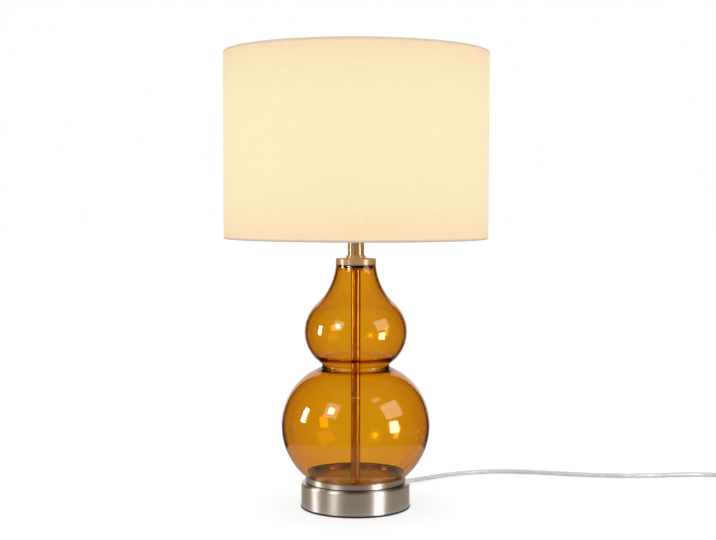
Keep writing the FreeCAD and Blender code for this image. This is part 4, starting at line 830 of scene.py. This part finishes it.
def build_glass(settings):
    """The gourd: an outer and an inner side joined at the mouth, and a collar at the foot.

    The inner side lies waist_wall exp(-((z - ridge) / width)^2) further in at two ridges, where the glass was
    pinched.
    """
    low, mouth = (level * MM for level in turned("glass_body")[1:])
    shoulder, foot, collar, wall = 33.6 * MM, 54.47 * MM, 51.4 * MM, settings.wall
    rim, fillet, steps = 0.8 * MM, 0.6 * MM, 36
    outside = gourd_side(0.0, foot, mouth, steps)
    inside = gourd_side(wall, collar - wall, mouth, steps)
    width, bore = 2.2 * MM, collar - wall
    for ridge in (147.5 * MM, 159.5 * MM):
        inside[:, 0] -= settings.waist_wall * np.exp(-(((inside[:, 1] - ridge) / width) ** 2))
    # the stretches stop a little short of one another, so that no two points coincide
    outline = np.vstack(
        (
            arc((collar - rim, low + rim), rim, -math.pi / 2, 0, 5),
            straight((collar, low + rim), (collar, shoulder - fillet), 3),
            arc((collar + fillet, shoulder - fillet), fillet, math.pi, math.pi / 2, 4),
            straight((collar + fillet, shoulder), (foot - 0.1 * MM, shoulder), 3),
            outside[outside[:, 1] > shoulder + 0.05 * MM],
            inside[::-1],
            straight((bore, inside[0, 1] - 0.3 * MM), (bore, low + rim), 3),
            arc((bore + rim, low + rim), rim, math.pi, 1.5 * math.pi, 5),
        )
    )
    gourd = revolve("gourd", outline, settings.segments, sharp=60)
    put_on(gourd, amber_glass(settings), "stand", "amber_glass", "glass_body")


# Base, stem and neck


def build_base():
    """The pad, drum, seat ring and washer, and finishes for the weight and its fasteners inside."""
    pad = revolve("foot_pad", ring("base_pad", inner=0, edges=(0, 0.4, 0.4, 0)), segments=200)
    put_on(pad, felt(), "stand", "felt", "base_pad")
    dress("drum", "base_shell", spun_nickel(), "stand", "nickel", sharp=50)
    radius, low, rim = turned("seat_ring")
    floor = turned("seat_gasket")[1]
    groove, groove_top, wall, edge = 52.2, 27.4, 1.8, 0.45
    seat = section(
        (BORE, low),
        (groove, low),
        (groove, groove_top),
        (radius, groove_top, 0.2),
        (radius, rim, edge),
        (radius - wall, rim, edge),
        (radius - wall, floor),
        (BORE, floor),
    )
    # painted shadow: a dark, dull band on the seat ring's low edge and groove, where shade falls between ring
    # and drum
    groove_shadowed = spun_nickel("seat nickel", band=(26 * MM, 27.8 * MM, (0.02, 0.018, 0.016)))
    put_on(revolve("seat", seat, segments=240), groove_shadowed, "stand", "nickel", "seat_ring")
    washer = revolve("seat_washer", ring("seat_gasket", inner=46.8, edges=(0.3,) * 4))
    put_on(washer, clear_rubber(), "stand", "clear_rubber", "seat_gasket")
    finish_nodes(cast_iron(), "base_weight")
    finish_nodes(plain_metal("zinc plate", ZINC, rough=0.35), "base_washer", "base_lock_washer", "base_nut")


def build_stem():
    """Two sleeves that meet in a joint with bevelled edges and a pale band painted there as a highlight, and
    the pipe's finish.
    """
    # painted highlight: a pale, dull band round the joint where the bevels meet
    joint_highlight = (116.2 * MM, 117.2 * MM, (0.86, 0.84, 0.78))
    plate = spun_nickel("stem plate", (0.92, 0.60, 0.40), rough=0.22, metal=0.75, band=joint_highlight)
    radius, low, joint = turned("lower_stem_sleeve")
    high, bevel = turned("upper_stem_sleeve")[2], 0.35
    lower = section(
        (BORE, low), (radius, low), (radius, joint - bevel), (radius - bevel, joint), (BORE, joint)
    )
    upper = section(
        (BORE, joint), (radius - bevel, joint), (radius, joint + bevel), (radius, high), (BORE, high)
    )
    for name, sleeve in (("lower", lower), ("upper", upper)):
        piece = revolve(f"{name}_sleeve", sleeve, segments=96, sharp=25)
        put_on(piece, plate, "stand", "nickel", f"{name}_stem_sleeve")
    finish_nodes(plain_metal("pipe thread", (0.60, 0.58, 0.50), rough=0.3), "threaded_pipe")


def build_neck():
    """The cap with its spigot in the glass, its washer, the collar and the neck's tube."""
    # painted shade: a dark, dull band on the spigot just under the cap's skirt, where the glass's mouth is
    # shaded
    painted_band = (255.6 * MM, 259.2 * MM, (0.05, 0.02, 0.008))
    nickel = spun_nickel("cap nickel", (0.95, 0.62, 0.32), rough=0.46, metal=0.52, band=painted_band)
    radius, spigot_end, top = turned("top_cap")
    skirt_end, roof = turned("cap_gasket")[2], turned("upper_stem_sleeve")[2]
    skirt, spigot, spigot_bore = 20.2, 18.15, 16.75
    cap = section(
        (radius, skirt_end),
        (radius, top, 0.8),
        (BORE, top),
        (BORE, roof),
        (spigot_bore, roof),
        (spigot_bore, spigot_end),
        (spigot, spigot_end),
        (spigot, roof),
        (skirt, roof),
        (skirt, skirt_end),
    )
    put_on(revolve("glass_cap", cap), nickel, "stand", "nickel", "top_cap")
    washer = revolve("cap_washer", ring("cap_gasket", inner=18.45, edges=(0.15,) * 4))
    put_on(washer, clear_rubber(), "stand", "clear_rubber", "cap_gasket")
    collar = revolve("collar", ring("neck_collar", BORE, edges=(0, 0, 0.64, 0)), segments=128)
    put_on(collar, nickel, "stand", "nickel", "neck_collar")
    tube = revolve("neck", ring("neck_tube", inner=7.75), segments=128)
    plate = spun_nickel("neck nickel", (0.76, 0.50, 0.24), rough=0.34, metal=0.6)
    put_on(tube, plate, "stand", "nickel", "neck_tube")


def nut_ribs(r, z, v):
    """Grip ribs: the rim falls in by 0.45 mm (1 - |cos 18 v|)^2 between 36 ribs."""
    depth, rim = 0.45 * MM, 23.3 * MM
    return r - np.where(r > rim, depth * (1 - np.abs(np.cos(18 * v))) ** 2, 0)


def build_holder():
    """The lampholder: lid, skirt, ring nut and screw shell, and finishes for what is inside."""
    white = moulded("holder plastic", WHITE, rough=0.28)
    brass = plain_metal("brass", BRASS, rough=0.25)
    dress("holder_lid", "holder_cap", white, "stand", "holder_plastic", sharp=40)
    radius, low, high = turned("holder_body")
    foot, bore, side, mouth = 18.5, 16.5, 19.5, 14.25
    flange_low, flange_top, lip = 316, 318.6, 2
    skirt = section(
        (bore, low),
        (foot, low),
        (foot, flange_low),
        (radius, flange_low, 0.5),
        (radius, flange_top, 0.5),
        (side, flange_top),
        (side, high, 0.9),
        (mouth, high, 0.5),
        (mouth, high - lip),
        (bore, high - lip),
    )
    skirt = filled(skirt, low=319, high=349, step=0.4)
    worked = thread(low=319, high=348, depth=0.5, reach=side - 0.1)
    skirt = revolve("holder_skirt", skirt, segments=144, worked=worked)
    put_on(skirt, white, "stand", "holder_plastic", "holder_body")
    nut = ring("shade_ring_nut", inner=19.8, edges=(0.3, 0.6, 0.6, 0.3))
    nut = filled(nut, low=321.5, high=327.1, step=1)
    nut = revolve("ring_nut", nut, segments=288, worked=nut_ribs)
    put_on(nut, white, "stand", "holder_plastic", "shade_ring_nut")
    shell = filled(cup("screw_shell", hole=8.3, wall=0.45), low=321, high=345, step=0.25)
    worked = thread(low=323, high=344.5, depth=0.3, reach=13.3)
    shell = revolve("shell", shell, segments=128, worked=worked)
    put_on(shell, brass, "stand", "brass", "screw_shell")
    finish_nodes(moulded("porcelain", (0.83, 0.82, 0.79), rough=0.15), "holder_insulator")
    finish_nodes(brass, "centre_contact", "holder_terminals")
    finish_nodes(plain_metal("screw zinc", ZINC, rough=0.35), "holder_terminal_screws", "holder_nut")


# Shade and bulb


def cloth_outline():
    """The cloth's section: a straight side rolled inwards over two wire rings.

    The rolls are arcs of 1.9 mm to the outer face, and end in a lip on the inside.
    """
    outer = turned("shade_fabric")[0] * MM
    wall, roll = 0.5 * MM, 1.9 * MM
    low, high, middle = 287.9 * MM, 480.1 * MM, outer - roll
    lip, inner, hem = middle - roll, roll - wall, 2.4 * MM
    return np.vstack(
        (
            straight((outer, low), (outer, low + hem), 7),
            straight((outer, low + hem), (outer, high - hem), 12),
            straight((outer, high - hem), (outer, high), 7),
            arc((middle, high), roll, 0, math.pi, 16),
            straight((lip, high), (lip, high - roll), 2),
            straight((lip, high - roll), (lip + wall, high - roll), 1),
            straight((lip + wall, high - roll), (lip + wall, high), 2),
            arc((middle, high), inner, math.pi, 0, 12),
            straight((outer - wall, high), (outer - wall, low), 8),
            arc((middle, low), inner, 0, -math.pi, 12),
            straight((lip + wall, low), (lip, low), 1),
            arc((middle, low), roll, -math.pi, 0, 16),
        )
    )


def cloth_lap(r, z, v):
    """The panel lies 0.2 mm inside the rolled hems, but for the lap at the back, where the cloth ends meet.

    Hem and lap each end over a millimetre.
    """
    step, side = 0.2 * MM, 139.6 * MM
    hem = np.clip(np.minimum(z - 288.9 * MM, 479.1 * MM - z) / MM, 0, 1)
    off = np.minimum(v - BACK, BACK + 2 * math.pi - v) * r
    lap = np.clip((LAP / 2 - off) / MM + 0.5, 0, 1)
    return r - np.where(r > side, step * hem * (1 - lap), 0)


def build_shade(settings):
    """The drum shade's cloth, lining, wire rings, carrier and arms."""
    low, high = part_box("shade_fabric")
    cloth = revolve("cloth", cloth_outline(), segments=600, sharp=50, worked=cloth_lap, start=BACK)
    put_on(cloth, lit_cloth(settings, low[2], high[2]), "shade", "shade_cloth", "shade_fabric")
    dress("film", "shade_lining", lining_film(), "shade", "shade_film", sharp=30)
    paint = moulded("white wire paint", WHITE, rough=0.3)
    dress("top_wire", "shade_top_ring", paint, "shade", "white_wire", sharp=60)
    dress("bottom_wire", "shade_bottom_ring", paint, "shade", "white_wire", sharp=60)
    dress("carrier", "shade_carrier", paint, "shade", "white_wire", sharp=40)
    dress("arms", "shade_arms", paint, "shade", "white_wire", sharp=60)


def build_bulb():
    """The bulb's glass, screw cap and contact, and its insulator's finish."""
    metal = plain_metal("rolled cap", (0.74, 0.74, 0.73), rough=0.28)
    dress("bulb_globe", "bulb_glass", opal_bulb(), "bulb", "opal_glass", sharp=60)
    cap = filled(cup("bulb_cap", hole=8.5, wall=0.4, edge=0.5), low=328, high=346.5, step=0.25)
    worked = thread(low=329.2, high=340, depth=0.75, reach=12.5)
    cap = revolve("screw_cap", cap, segments=128, worked=worked)
    put_on(cap, metal, "bulb", "bulb_metal", "bulb_cap")
    finish_nodes(moulded("black glass", (0.02, 0.02, 0.02), rough=0.1), "bulb_insulator")
    contact = welded("contact", "bulb_contact", sharp=40)
    foot = Matrix.Translation((0, 0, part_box("bulb_contact")[0][2]))
    # a hundredth lower than the solid, so that the insulator turns above it with a gap
    contact.data.transform(foot @ Matrix.Scale(0.99, 4, (0, 0, 1)) @ foot.inverted())
    put_on(contact, metal, "bulb_foot", "bulb_metal", "bulb_contact")


# Flex


# each point: x, y and the height of the flex's middle, in millimetres
LEAD = np.array(
    [
        (40.0, 69.282, 8),
        (47.0, 81.406, 8),
        (62, 104, 4.6),
        (83.5, 129, 2.6),
        (112, 150.5, 2.6),
        (146, 165, 2.6),
        (182, 169.5, 2.6),
        (222, 161.5, 2.6),
        (264, 150.5, 2.6),
        (304, 144, 2.6),
        (345, 144.5, 2.6),
        (386, 151, 2.6),
        (426, 152, 2.6),
        (456, 140, 2.6),
        (471, 118, 5.4),
        (474, 98, 9),
        (474, 86, 9),
    ]
)
RUN = np.array([(474, 34, 9), (474, 21, 9), (474, 2, 3.6), (474, -14.8, 3.6)])
TAIL = np.array([(474, -25.2, 9.45), (474, -35.2, 9.45), (474, -45, 6.85), (474, -53, 6.85)])
# the coil's middle, the radius of its first turn, the way between turns and the levels of its two layers
COIL_CENTRE = np.array([434.4, -20.0])
COIL_RADIUS, COIL_PITCH = 39.6, 5.85
COIL_LEVELS = (3.6, 9.45)


def coil_points(turns, per_turn):
    """A flat coil wound in and then out again above itself, as control points of the flex.

    r(t) falls by the pitch each turn to the middle turn and grows again, z rises in a smooth step there, and
    the angle goes round clockwise. The radius is larger by what the spline cuts inside its corners.
    """
    t = np.arange(0, turns * per_turn + 1) / per_turn
    off = np.abs(t - turns / 2)
    bend = 0.25
    inner = COIL_RADIUS - COIL_PITCH * (turns / 2 - bend / 2)
    r = inner + COIL_PITCH * np.where(off < bend, off**2 / (2 * bend), off - bend / 2)
    r /= 0.75 + 0.25 * math.cos(2 * math.pi / per_turn)
    climb = smooth(np.clip((t - turns / 2) / (2 * bend) + 0.5, 0, 1))
    z = COIL_LEVELS[0] + (COIL_LEVELS[1] - COIL_LEVELS[0]) * climb
    angle = -2 * math.pi * t
    return np.column_stack((COIL_CENTRE[0] + r * np.cos(angle), COIL_CENTRE[1] + r * np.sin(angle), z))


def flex_spline(name, points, diameter):
    """A flex along one smooth spline whose control points are the route's."""
    curve = bpy.data.curves.new(name, "CURVE")
    curve.dimensions = "3D"
    spline = curve.splines.new("NURBS")
    spline.points.add(len(points) - 1)
    spline.points.foreach_set("co", np.column_stack((points * MM, np.ones(len(points)))).ravel())
    spline.order_u = 3
    spline.use_endpoint_u = True
    spline.resolution_u = 8
    curve.bevel_depth = diameter / 2
    curve.bevel_resolution = 5
    curve.use_fill_caps = True
    piece = bpy.data.objects.new(name, curve)
    bpy.context.scene.collection.objects.link(piece)
    return piece


def build_flex(settings):
    """The flex from the drum to the switch and from there to the plug, its grommet and the coil's tie."""
    clear = clear_flex(settings)
    dress("grommet", "cord_grommet", clear, "stand", "clear_pvc", sharp=35)
    finish_nodes(clear, "inner_cord")
    finish_nodes(moulded("core sleeve", (0.20, 0.10, 0.05), rough=0.28), "cord_cores")
    lead = flex_spline("lead", LEAD, settings.diameter)
    put_on(lead, clear, "stand", "clear_pvc", "cord_lead")
    stored = np.vstack((RUN[:-1], coil_points(settings.turns, 24), TAIL[1:]))
    stored = flex_spline("stored_flex", stored, settings.diameter)
    put_on(stored, clear, "stand", "clear_pvc", "cord_run", "cord_coil", "cord_tail")
    dress("tie", "coil_tie", strap_weave(), "stand", "tie_strap", sharp=40)


def build_switch():
    """The inline switch: tray, lid and rocker, and finishes for its pin, contacts and screws."""
    shell = moulded("switch plastic", (0.70, 0.70, 0.68), rough=0.2)
    rocker = moulded("rocker plastic", (0.80, 0.80, 0.78), rough=0.25)
    dress("switch_tray", "switch_lower_shell", shell, "stand", "switch_plastic", sharp=35)
    dress("switch_lid", "switch_upper_shell", shell, "stand", "switch_plastic", sharp=35)
    dress("rocker_key", "switch_rocker", rocker, "rocker", "rocker_plastic", sharp=35)
    finish_nodes(plain_metal("switch screw", ZINC, rough=0.35), "rocker_pin", "switch_screws")
    finish_nodes(plain_metal("contact brass", BRASS, rough=0.3), "switch_contacts")


def build_plug():
    """The plug's grip and pins."""
    grip = moulded("plug plastic", (0.62, 0.61, 0.60), rough=0.25)
    dress("plug_grip", "plug_body", grip, "stand", "clear_pvc", sharp=35)
    pins = plain_metal("plated pin", (0.78, 0.76, 0.70), rough=0.2)
    dress("blades", "plug_pins", pins, "stand", "pin_metal", sharp=35)


def declare_flex():
    """Gathers the switch's pieces that sit on the lead, and does nothing more with them."""
    find = bpy.data.objects
    on_lead = [find["switch_tray"], find["switch_lid"], find["rocker_key"], find["rocker_pin"]]
    on_lead += [find["switch_contacts"], find["switch_screws"]]


# Stage


def seen_ray(n):
    """1 for camera, glossy and transmission rays and 0 for others."""
    path = n.node("ShaderNodeLightPath").outputs
    either = n.math("MAXIMUM", path["Is Camera Ray"], path["Is Glossy Ray"])
    return n.math("MAXIMUM", either, path["Is Transmission Ray"])


def mirrored_ray(n):
    """0 for a ray that comes straight through glass and 1 for others, also for one mirrored before it."""
    path = n.node("ShaderNodeLightPath").outputs
    other = n.math("SUBTRACT", 1.0, path["Is Transmission Ray"])
    return n.math("ADD", other, path["Glossy Depth"], clamp=True)


def build_world(settings):
    """White where it is seen, mirrored or looked at through glass, and a soft even light on the object."""
    world = bpy.data.worlds.new("studio")
    bpy.context.scene.world = world
    n = Nodes(world)
    strength = n.between(seen_ray(n), settings.room, 1.0)
    sky = n.node("ShaderNodeBackground", {"Color": (*WHITE_LIGHT, 1.0), "Strength": strength})
    n.node("ShaderNodeOutputWorld", {"Surface": sky.outputs[0]})


def build_floor(settings):
    """A wide white floor that glows where it is seen, and takes the shadow on the rest of its white."""
    side, level = 14.0, -0.4 * MM
    corners = [(-side, -side, level), (side, -side, level), (side, side, level), (-side, side, level)]
    floor = new_mesh("floor", corners, [(0, 1, 2, 3)])
    material = bpy.data.materials.new("white floor")
    n = Nodes(material)
    grey = settings.floor_grey
    matt = n.node("ShaderNodeBsdfDiffuse", {"Color": (grey, grey, grey, 1.0)}).outputs[0]
    glow = n.emission(settings.floor_tint, n.math("MULTIPLY", seen_ray(n), settings.floor_glow))
    both = n.node("ShaderNodeAddShader", {0: matt, 1: glow}).outputs[0]
    n.node("ShaderNodeOutputMaterial", {"Surface": both})
    floor.data.materials.append(material)


def ringed(n, bright, dim, reach):
    """A strength that is dim next to the drum, as a painted shadow, bright from there to the reach, and dim
    beyond it.
    """
    where = n.node("ShaderNodeTexCoord").outputs["Object"]
    off = n.node("ShaderNodeVectorMath", {0: where}, operation="LENGTH").outputs["Value"]
    strength = bright
    for start, end in ((60 * MM, 80 * MM), (reach, reach * 0.9)):
        step = n.between(off, dim, bright, start, end, interpolation_type="SMOOTHSTEP")
        strength = n.math("MINIMUM", step, strength)
    return strength


def build_cards(settings):
    """Cards that only reflections show: P = (R sin a, -R cos a, z), a from -A to A, 0 towards the camera.

    They are a dim wall that curves round the lamp and is open behind it, a ceiling, a ring on the floor and
    one under the shade that keeps its lit inside out of the glass.
    """
    half, far, top = settings.card_angle, 1.9, 2.6
    foot, floor, drum, tip = 3 * MM, 0.5 * MM, 64 * MM, 1 * MM
    hem, neck, under = 138.5 * MM, 9.5 * MM, 286.5 * MM
    ring_light = (settings.card_floor, settings.card_wall * 2, settings.card_reach)
    cards = (
        ("wall_card", half, (far, far), (foot, top), settings.card_wall),
        ("ceiling_card", half, (far, tip), (top, top), settings.card_ceiling),
        ("floor_card", half, (drum, far), (floor, floor), ring_light),
        ("shade_card", math.pi, (hem, neck), (under, under), settings.card_shade),
    )
    columns = 97
    for name, reach, radii, levels, light in cards:
        angle = np.linspace(-reach, reach, columns)
        rows = [
            np.column_stack((r * np.sin(angle), -r * np.cos(angle), np.full(columns, z)))
            for r, z in zip(radii, levels)
        ]
        card = new_mesh(name, np.vstack(rows), grid_faces(2, columns, False, False).tolist())
        material = bpy.data.materials.new(name.replace("_", " "))
        n = Nodes(material)
        strength = ringed(n, *light) if isinstance(light, tuple) else light
        glow = n.emission(settings.card_colour, strength)
        clear = n.node("ShaderNodeBsdfTransparent").outputs[0]
        mix = n.node("ShaderNodeMixShader", {0: mirrored_ray(n), 1: clear, 2: glow})
        n.node("ShaderNodeOutputMaterial", {"Surface": mix.outputs[0]})
        card.data.materials.append(material)
        card.visible_camera = False
        card.visible_diffuse = False
        card.visible_shadow = False


LAMPS = (
    # name, place, aim, width and height in millimetres, radiance, colour
    ("right_window", (563, -292, 447), (32, -55, 157), 397, 312, 3.4, (1.0, 0.93, 0.86)),
    ("right_pane", (558, -349, 130), (33, -58, 141), 180, 210, 15.0, (1.0, 0.98, 0.95)),
    ("left_window", (-288, -348, 373), (-20, -60, 155), 191, 224, 3.0, (1.0, 0.90, 0.78)),
    ("left_core", (-286, -346, 362), (-20, -60, 155), 78, 90, 22.0, (1.0, 0.98, 0.95)),
    ("left_strip", (-537, -65, 232), (-44, -48, 150), 92, 195, 21.0, (1.0, 0.98, 0.95)),
    ("high_pane", (426, -425, 843), (20, -66, 124), 220, 100, 2.4, (1.0, 0.92, 0.84)),
    ("base_right_window", (507, -380, 447), (22, -59, 20), 330, 312, 2.4, (1.0, 0.95, 0.90)),
    ("base_right_pane", (492, -436, 130), (22, -62, 20), 190, 210, 13.0, (1.0, 0.98, 0.95)),
    ("base_left_window", (-345, -293, 373), (-29, -56, 20), 191, 224, 3.0, (1.0, 0.92, 0.82)),
    ("base_left_core", (-343, -291, 362), (-29, -56, 20), 78, 90, 26.0, (1.0, 0.98, 0.95)),
    ("base_left_strip", (-541, 30, 232), (-52, -40, 20), 92, 195, 18.0, (1.0, 0.98, 0.95)),
)


def share_out(lamp, on_base):
    """A lamp lights the drum and its seat alone, or all but them."""
    group = bpy.data.collections.new(lamp.name + " receivers")
    for name in ("drum", "seat"):
        group.objects.link(bpy.data.objects[name])
    for member in group.collection_objects:
        member.light_linking.link_state = "INCLUDE" if on_base else "EXCLUDE"
    lamp.light_linking.receiver_collection = group


def build_lamps(settings):
    """Soft boxes where the glass mirrors them. Power is radiance times pi times area.

    A lamp is seen through glass only by what mirrors it there, and the base's own lamps light it alone.
    """
    for name, place, aim, width, height, radiance, colour in LAMPS:
        light = bpy.data.lights.new(name, "AREA")
        light.shape = "RECTANGLE"
        light.size, light.size_y = width * MM, height * MM
        light.energy = radiance * math.pi * width * MM * height * MM * settings.light
        light.color = colour
        n = Nodes(light)
        n.node("ShaderNodeOutputLight", {"Surface": n.emission(WHITE_LIGHT, mirrored_ray(n))})
        lamp = bpy.data.objects.new(name, light)
        bpy.context.scene.collection.objects.link(lamp)
        place, back = np.array(place) * MM, np.subtract(place, aim) * MM
        back /= np.linalg.norm(back)
        across = np.cross((0, 0, 1), back)
        across /= np.linalg.norm(across)
        turn = np.column_stack((across, np.cross(back, across), back, place))
        lamp.matrix_world = Matrix([*turn.tolist(), (0, 0, 0, 1)])
        lamp.visible_camera = False
        lamp.visible_diffuse = False
        share_out(lamp, name.startswith("base_"))


def build_camera(settings):
    """A level camera in front of the lamp, turned down and rolled by small angles."""
    camera = bpy.data.objects.new("camera", bpy.data.cameras.new("camera"))
    bpy.context.scene.collection.objects.link(camera)
    camera.data.sensor_width = 36.0
    camera.data.lens = settings.lens
    camera.data.clip_start, camera.data.clip_end = 0.02, 60.0
    turn = Matrix.Rotation(math.pi / 2 - settings.pitch, 4, "X") @ Matrix.Rotation(settings.roll, 4, "Z")
    camera.matrix_world = Matrix.Translation(settings.camera_place) @ turn
    bpy.context.scene.camera = camera
    bpy.context.scene.view_settings.view_transform = "Standard"


# Operators, panel and register


class LAMP_OT_stage(bpy.types.Operator):
    """Build the floor, the room's light, the soft boxes and the camera."""

    bl_idname = "lamp.stage"
    bl_label = "Stage"

    def execute(self, context):
        settings = context.scene.lamp_stage
        build_world(settings)
        build_floor(settings)
        build_cards(settings)
        build_lamps(settings)
        build_camera(settings)
        return {"FINISHED"}


class LAMP_OT_flex(bpy.types.Operator):
    """Build the flex, its grommet, switch, coil, tie and plug."""

    bl_idname = "lamp.flex"
    bl_label = "Flex, switch and plug"

    def execute(self, context):
        settings = context.scene.lamp_flex
        build_flex(settings)
        build_switch()
        build_plug()
        declare_flex()
        return {"FINISHED"}


class LAMP_OT_base(bpy.types.Operator):
    """Build the drum, its pad and the seat ring."""

    bl_idname = "lamp.base"
    bl_label = "Base"

    def execute(self, context):
        build_base()
        return {"FINISHED"}


class LAMP_OT_glass(bpy.types.Operator):
    """Build the amber glass gourd."""

    bl_idname = "lamp.glass"
    bl_label = "Glass"

    def execute(self, context):
        build_glass(context.scene.lamp_glass)
        return {"FINISHED"}


class LAMP_OT_stem(bpy.types.Operator):
    """Build the stem's sleeves and pipe."""

    bl_idname = "lamp.stem"
    bl_label = "Stem"

    def execute(self, context):
        build_stem()
        return {"FINISHED"}


class LAMP_OT_neck(bpy.types.Operator):
    """Build the cap on the glass, the collar and the neck."""

    bl_idname = "lamp.neck"
    bl_label = "Neck"

    def execute(self, context):
        build_neck()
        return {"FINISHED"}


class LAMP_OT_holder(bpy.types.Operator):
    """Build the lampholder."""

    bl_idname = "lamp.holder"
    bl_label = "Lampholder"

    def execute(self, context):
        build_holder()
        return {"FINISHED"}


class LAMP_OT_shade(bpy.types.Operator):
    """Build the drum shade with its wires, arms and lining."""

    bl_idname = "lamp.shade"
    bl_label = "Shade"

    def execute(self, context):
        build_shade(context.scene.lamp_shade)
        return {"FINISHED"}


class LAMP_OT_bulb(bpy.types.Operator):
    """Build the bulb."""

    bl_idname = "lamp.bulb"
    bl_label = "Bulb"

    def execute(self, context):
        build_bulb()
        return {"FINISHED"}


OPERATORS = (
    LAMP_OT_flex,
    LAMP_OT_base,
    LAMP_OT_stem,
    LAMP_OT_glass,
    LAMP_OT_neck,
    LAMP_OT_holder,
    LAMP_OT_shade,
    LAMP_OT_bulb,
    LAMP_OT_stage,
)


class LAMP_PT_panel(bpy.types.Panel):
    """Sizes and colours of the lamp, and a button for each group of pieces."""

    bl_idname = "LAMP_PT_panel"
    bl_label = "Double gourd lamp"
    bl_space_type = "VIEW_3D"
    bl_region_type = "UI"
    bl_category = "Lamp"

    def draw(self, context):
        scene = context.scene
        for group in (scene.lamp_glass, scene.lamp_shade, scene.lamp_flex, scene.lamp_stage):
            box = self.layout.box()
            for name in group.bl_rna.properties.keys():
                if name not in ("rna_type", "name"):
                    box.prop(group, name)
        for operator in OPERATORS:
            self.layout.operator(operator.bl_idname)


GROUPS = {
    "lamp_glass": GlassSettings,
    "lamp_shade": ShadeSettings,
    "lamp_flex": FlexSettings,
    "lamp_stage": StageSettings,
}


def register():
    """Adds the settings, the operators and the panel."""
    for group in GROUPS.values():
        bpy.utils.register_class(group)
    for name, group in GROUPS.items():
        setattr(bpy.types.Scene, name, PointerProperty(type=group))
    for operator in OPERATORS:
        bpy.utils.register_class(operator)
    bpy.utils.register_class(LAMP_PT_panel)


def unregister():
    """Takes them away again."""
    bpy.utils.unregister_class(LAMP_PT_panel)
    for operator in reversed(OPERATORS):
        bpy.utils.unregister_class(operator)
    for name in GROUPS:
        delattr(bpy.types.Scene, name)
    for group in GROUPS.values():
        bpy.utils.unregister_class(group)


def main():
    """Builds the lamp and its stage."""
    register()
    for operator in OPERATORS:
        group, name = operator.bl_idname.split(".")
        getattr(getattr(bpy.ops, group), name)()


if __name__ == "__main__":
    main()
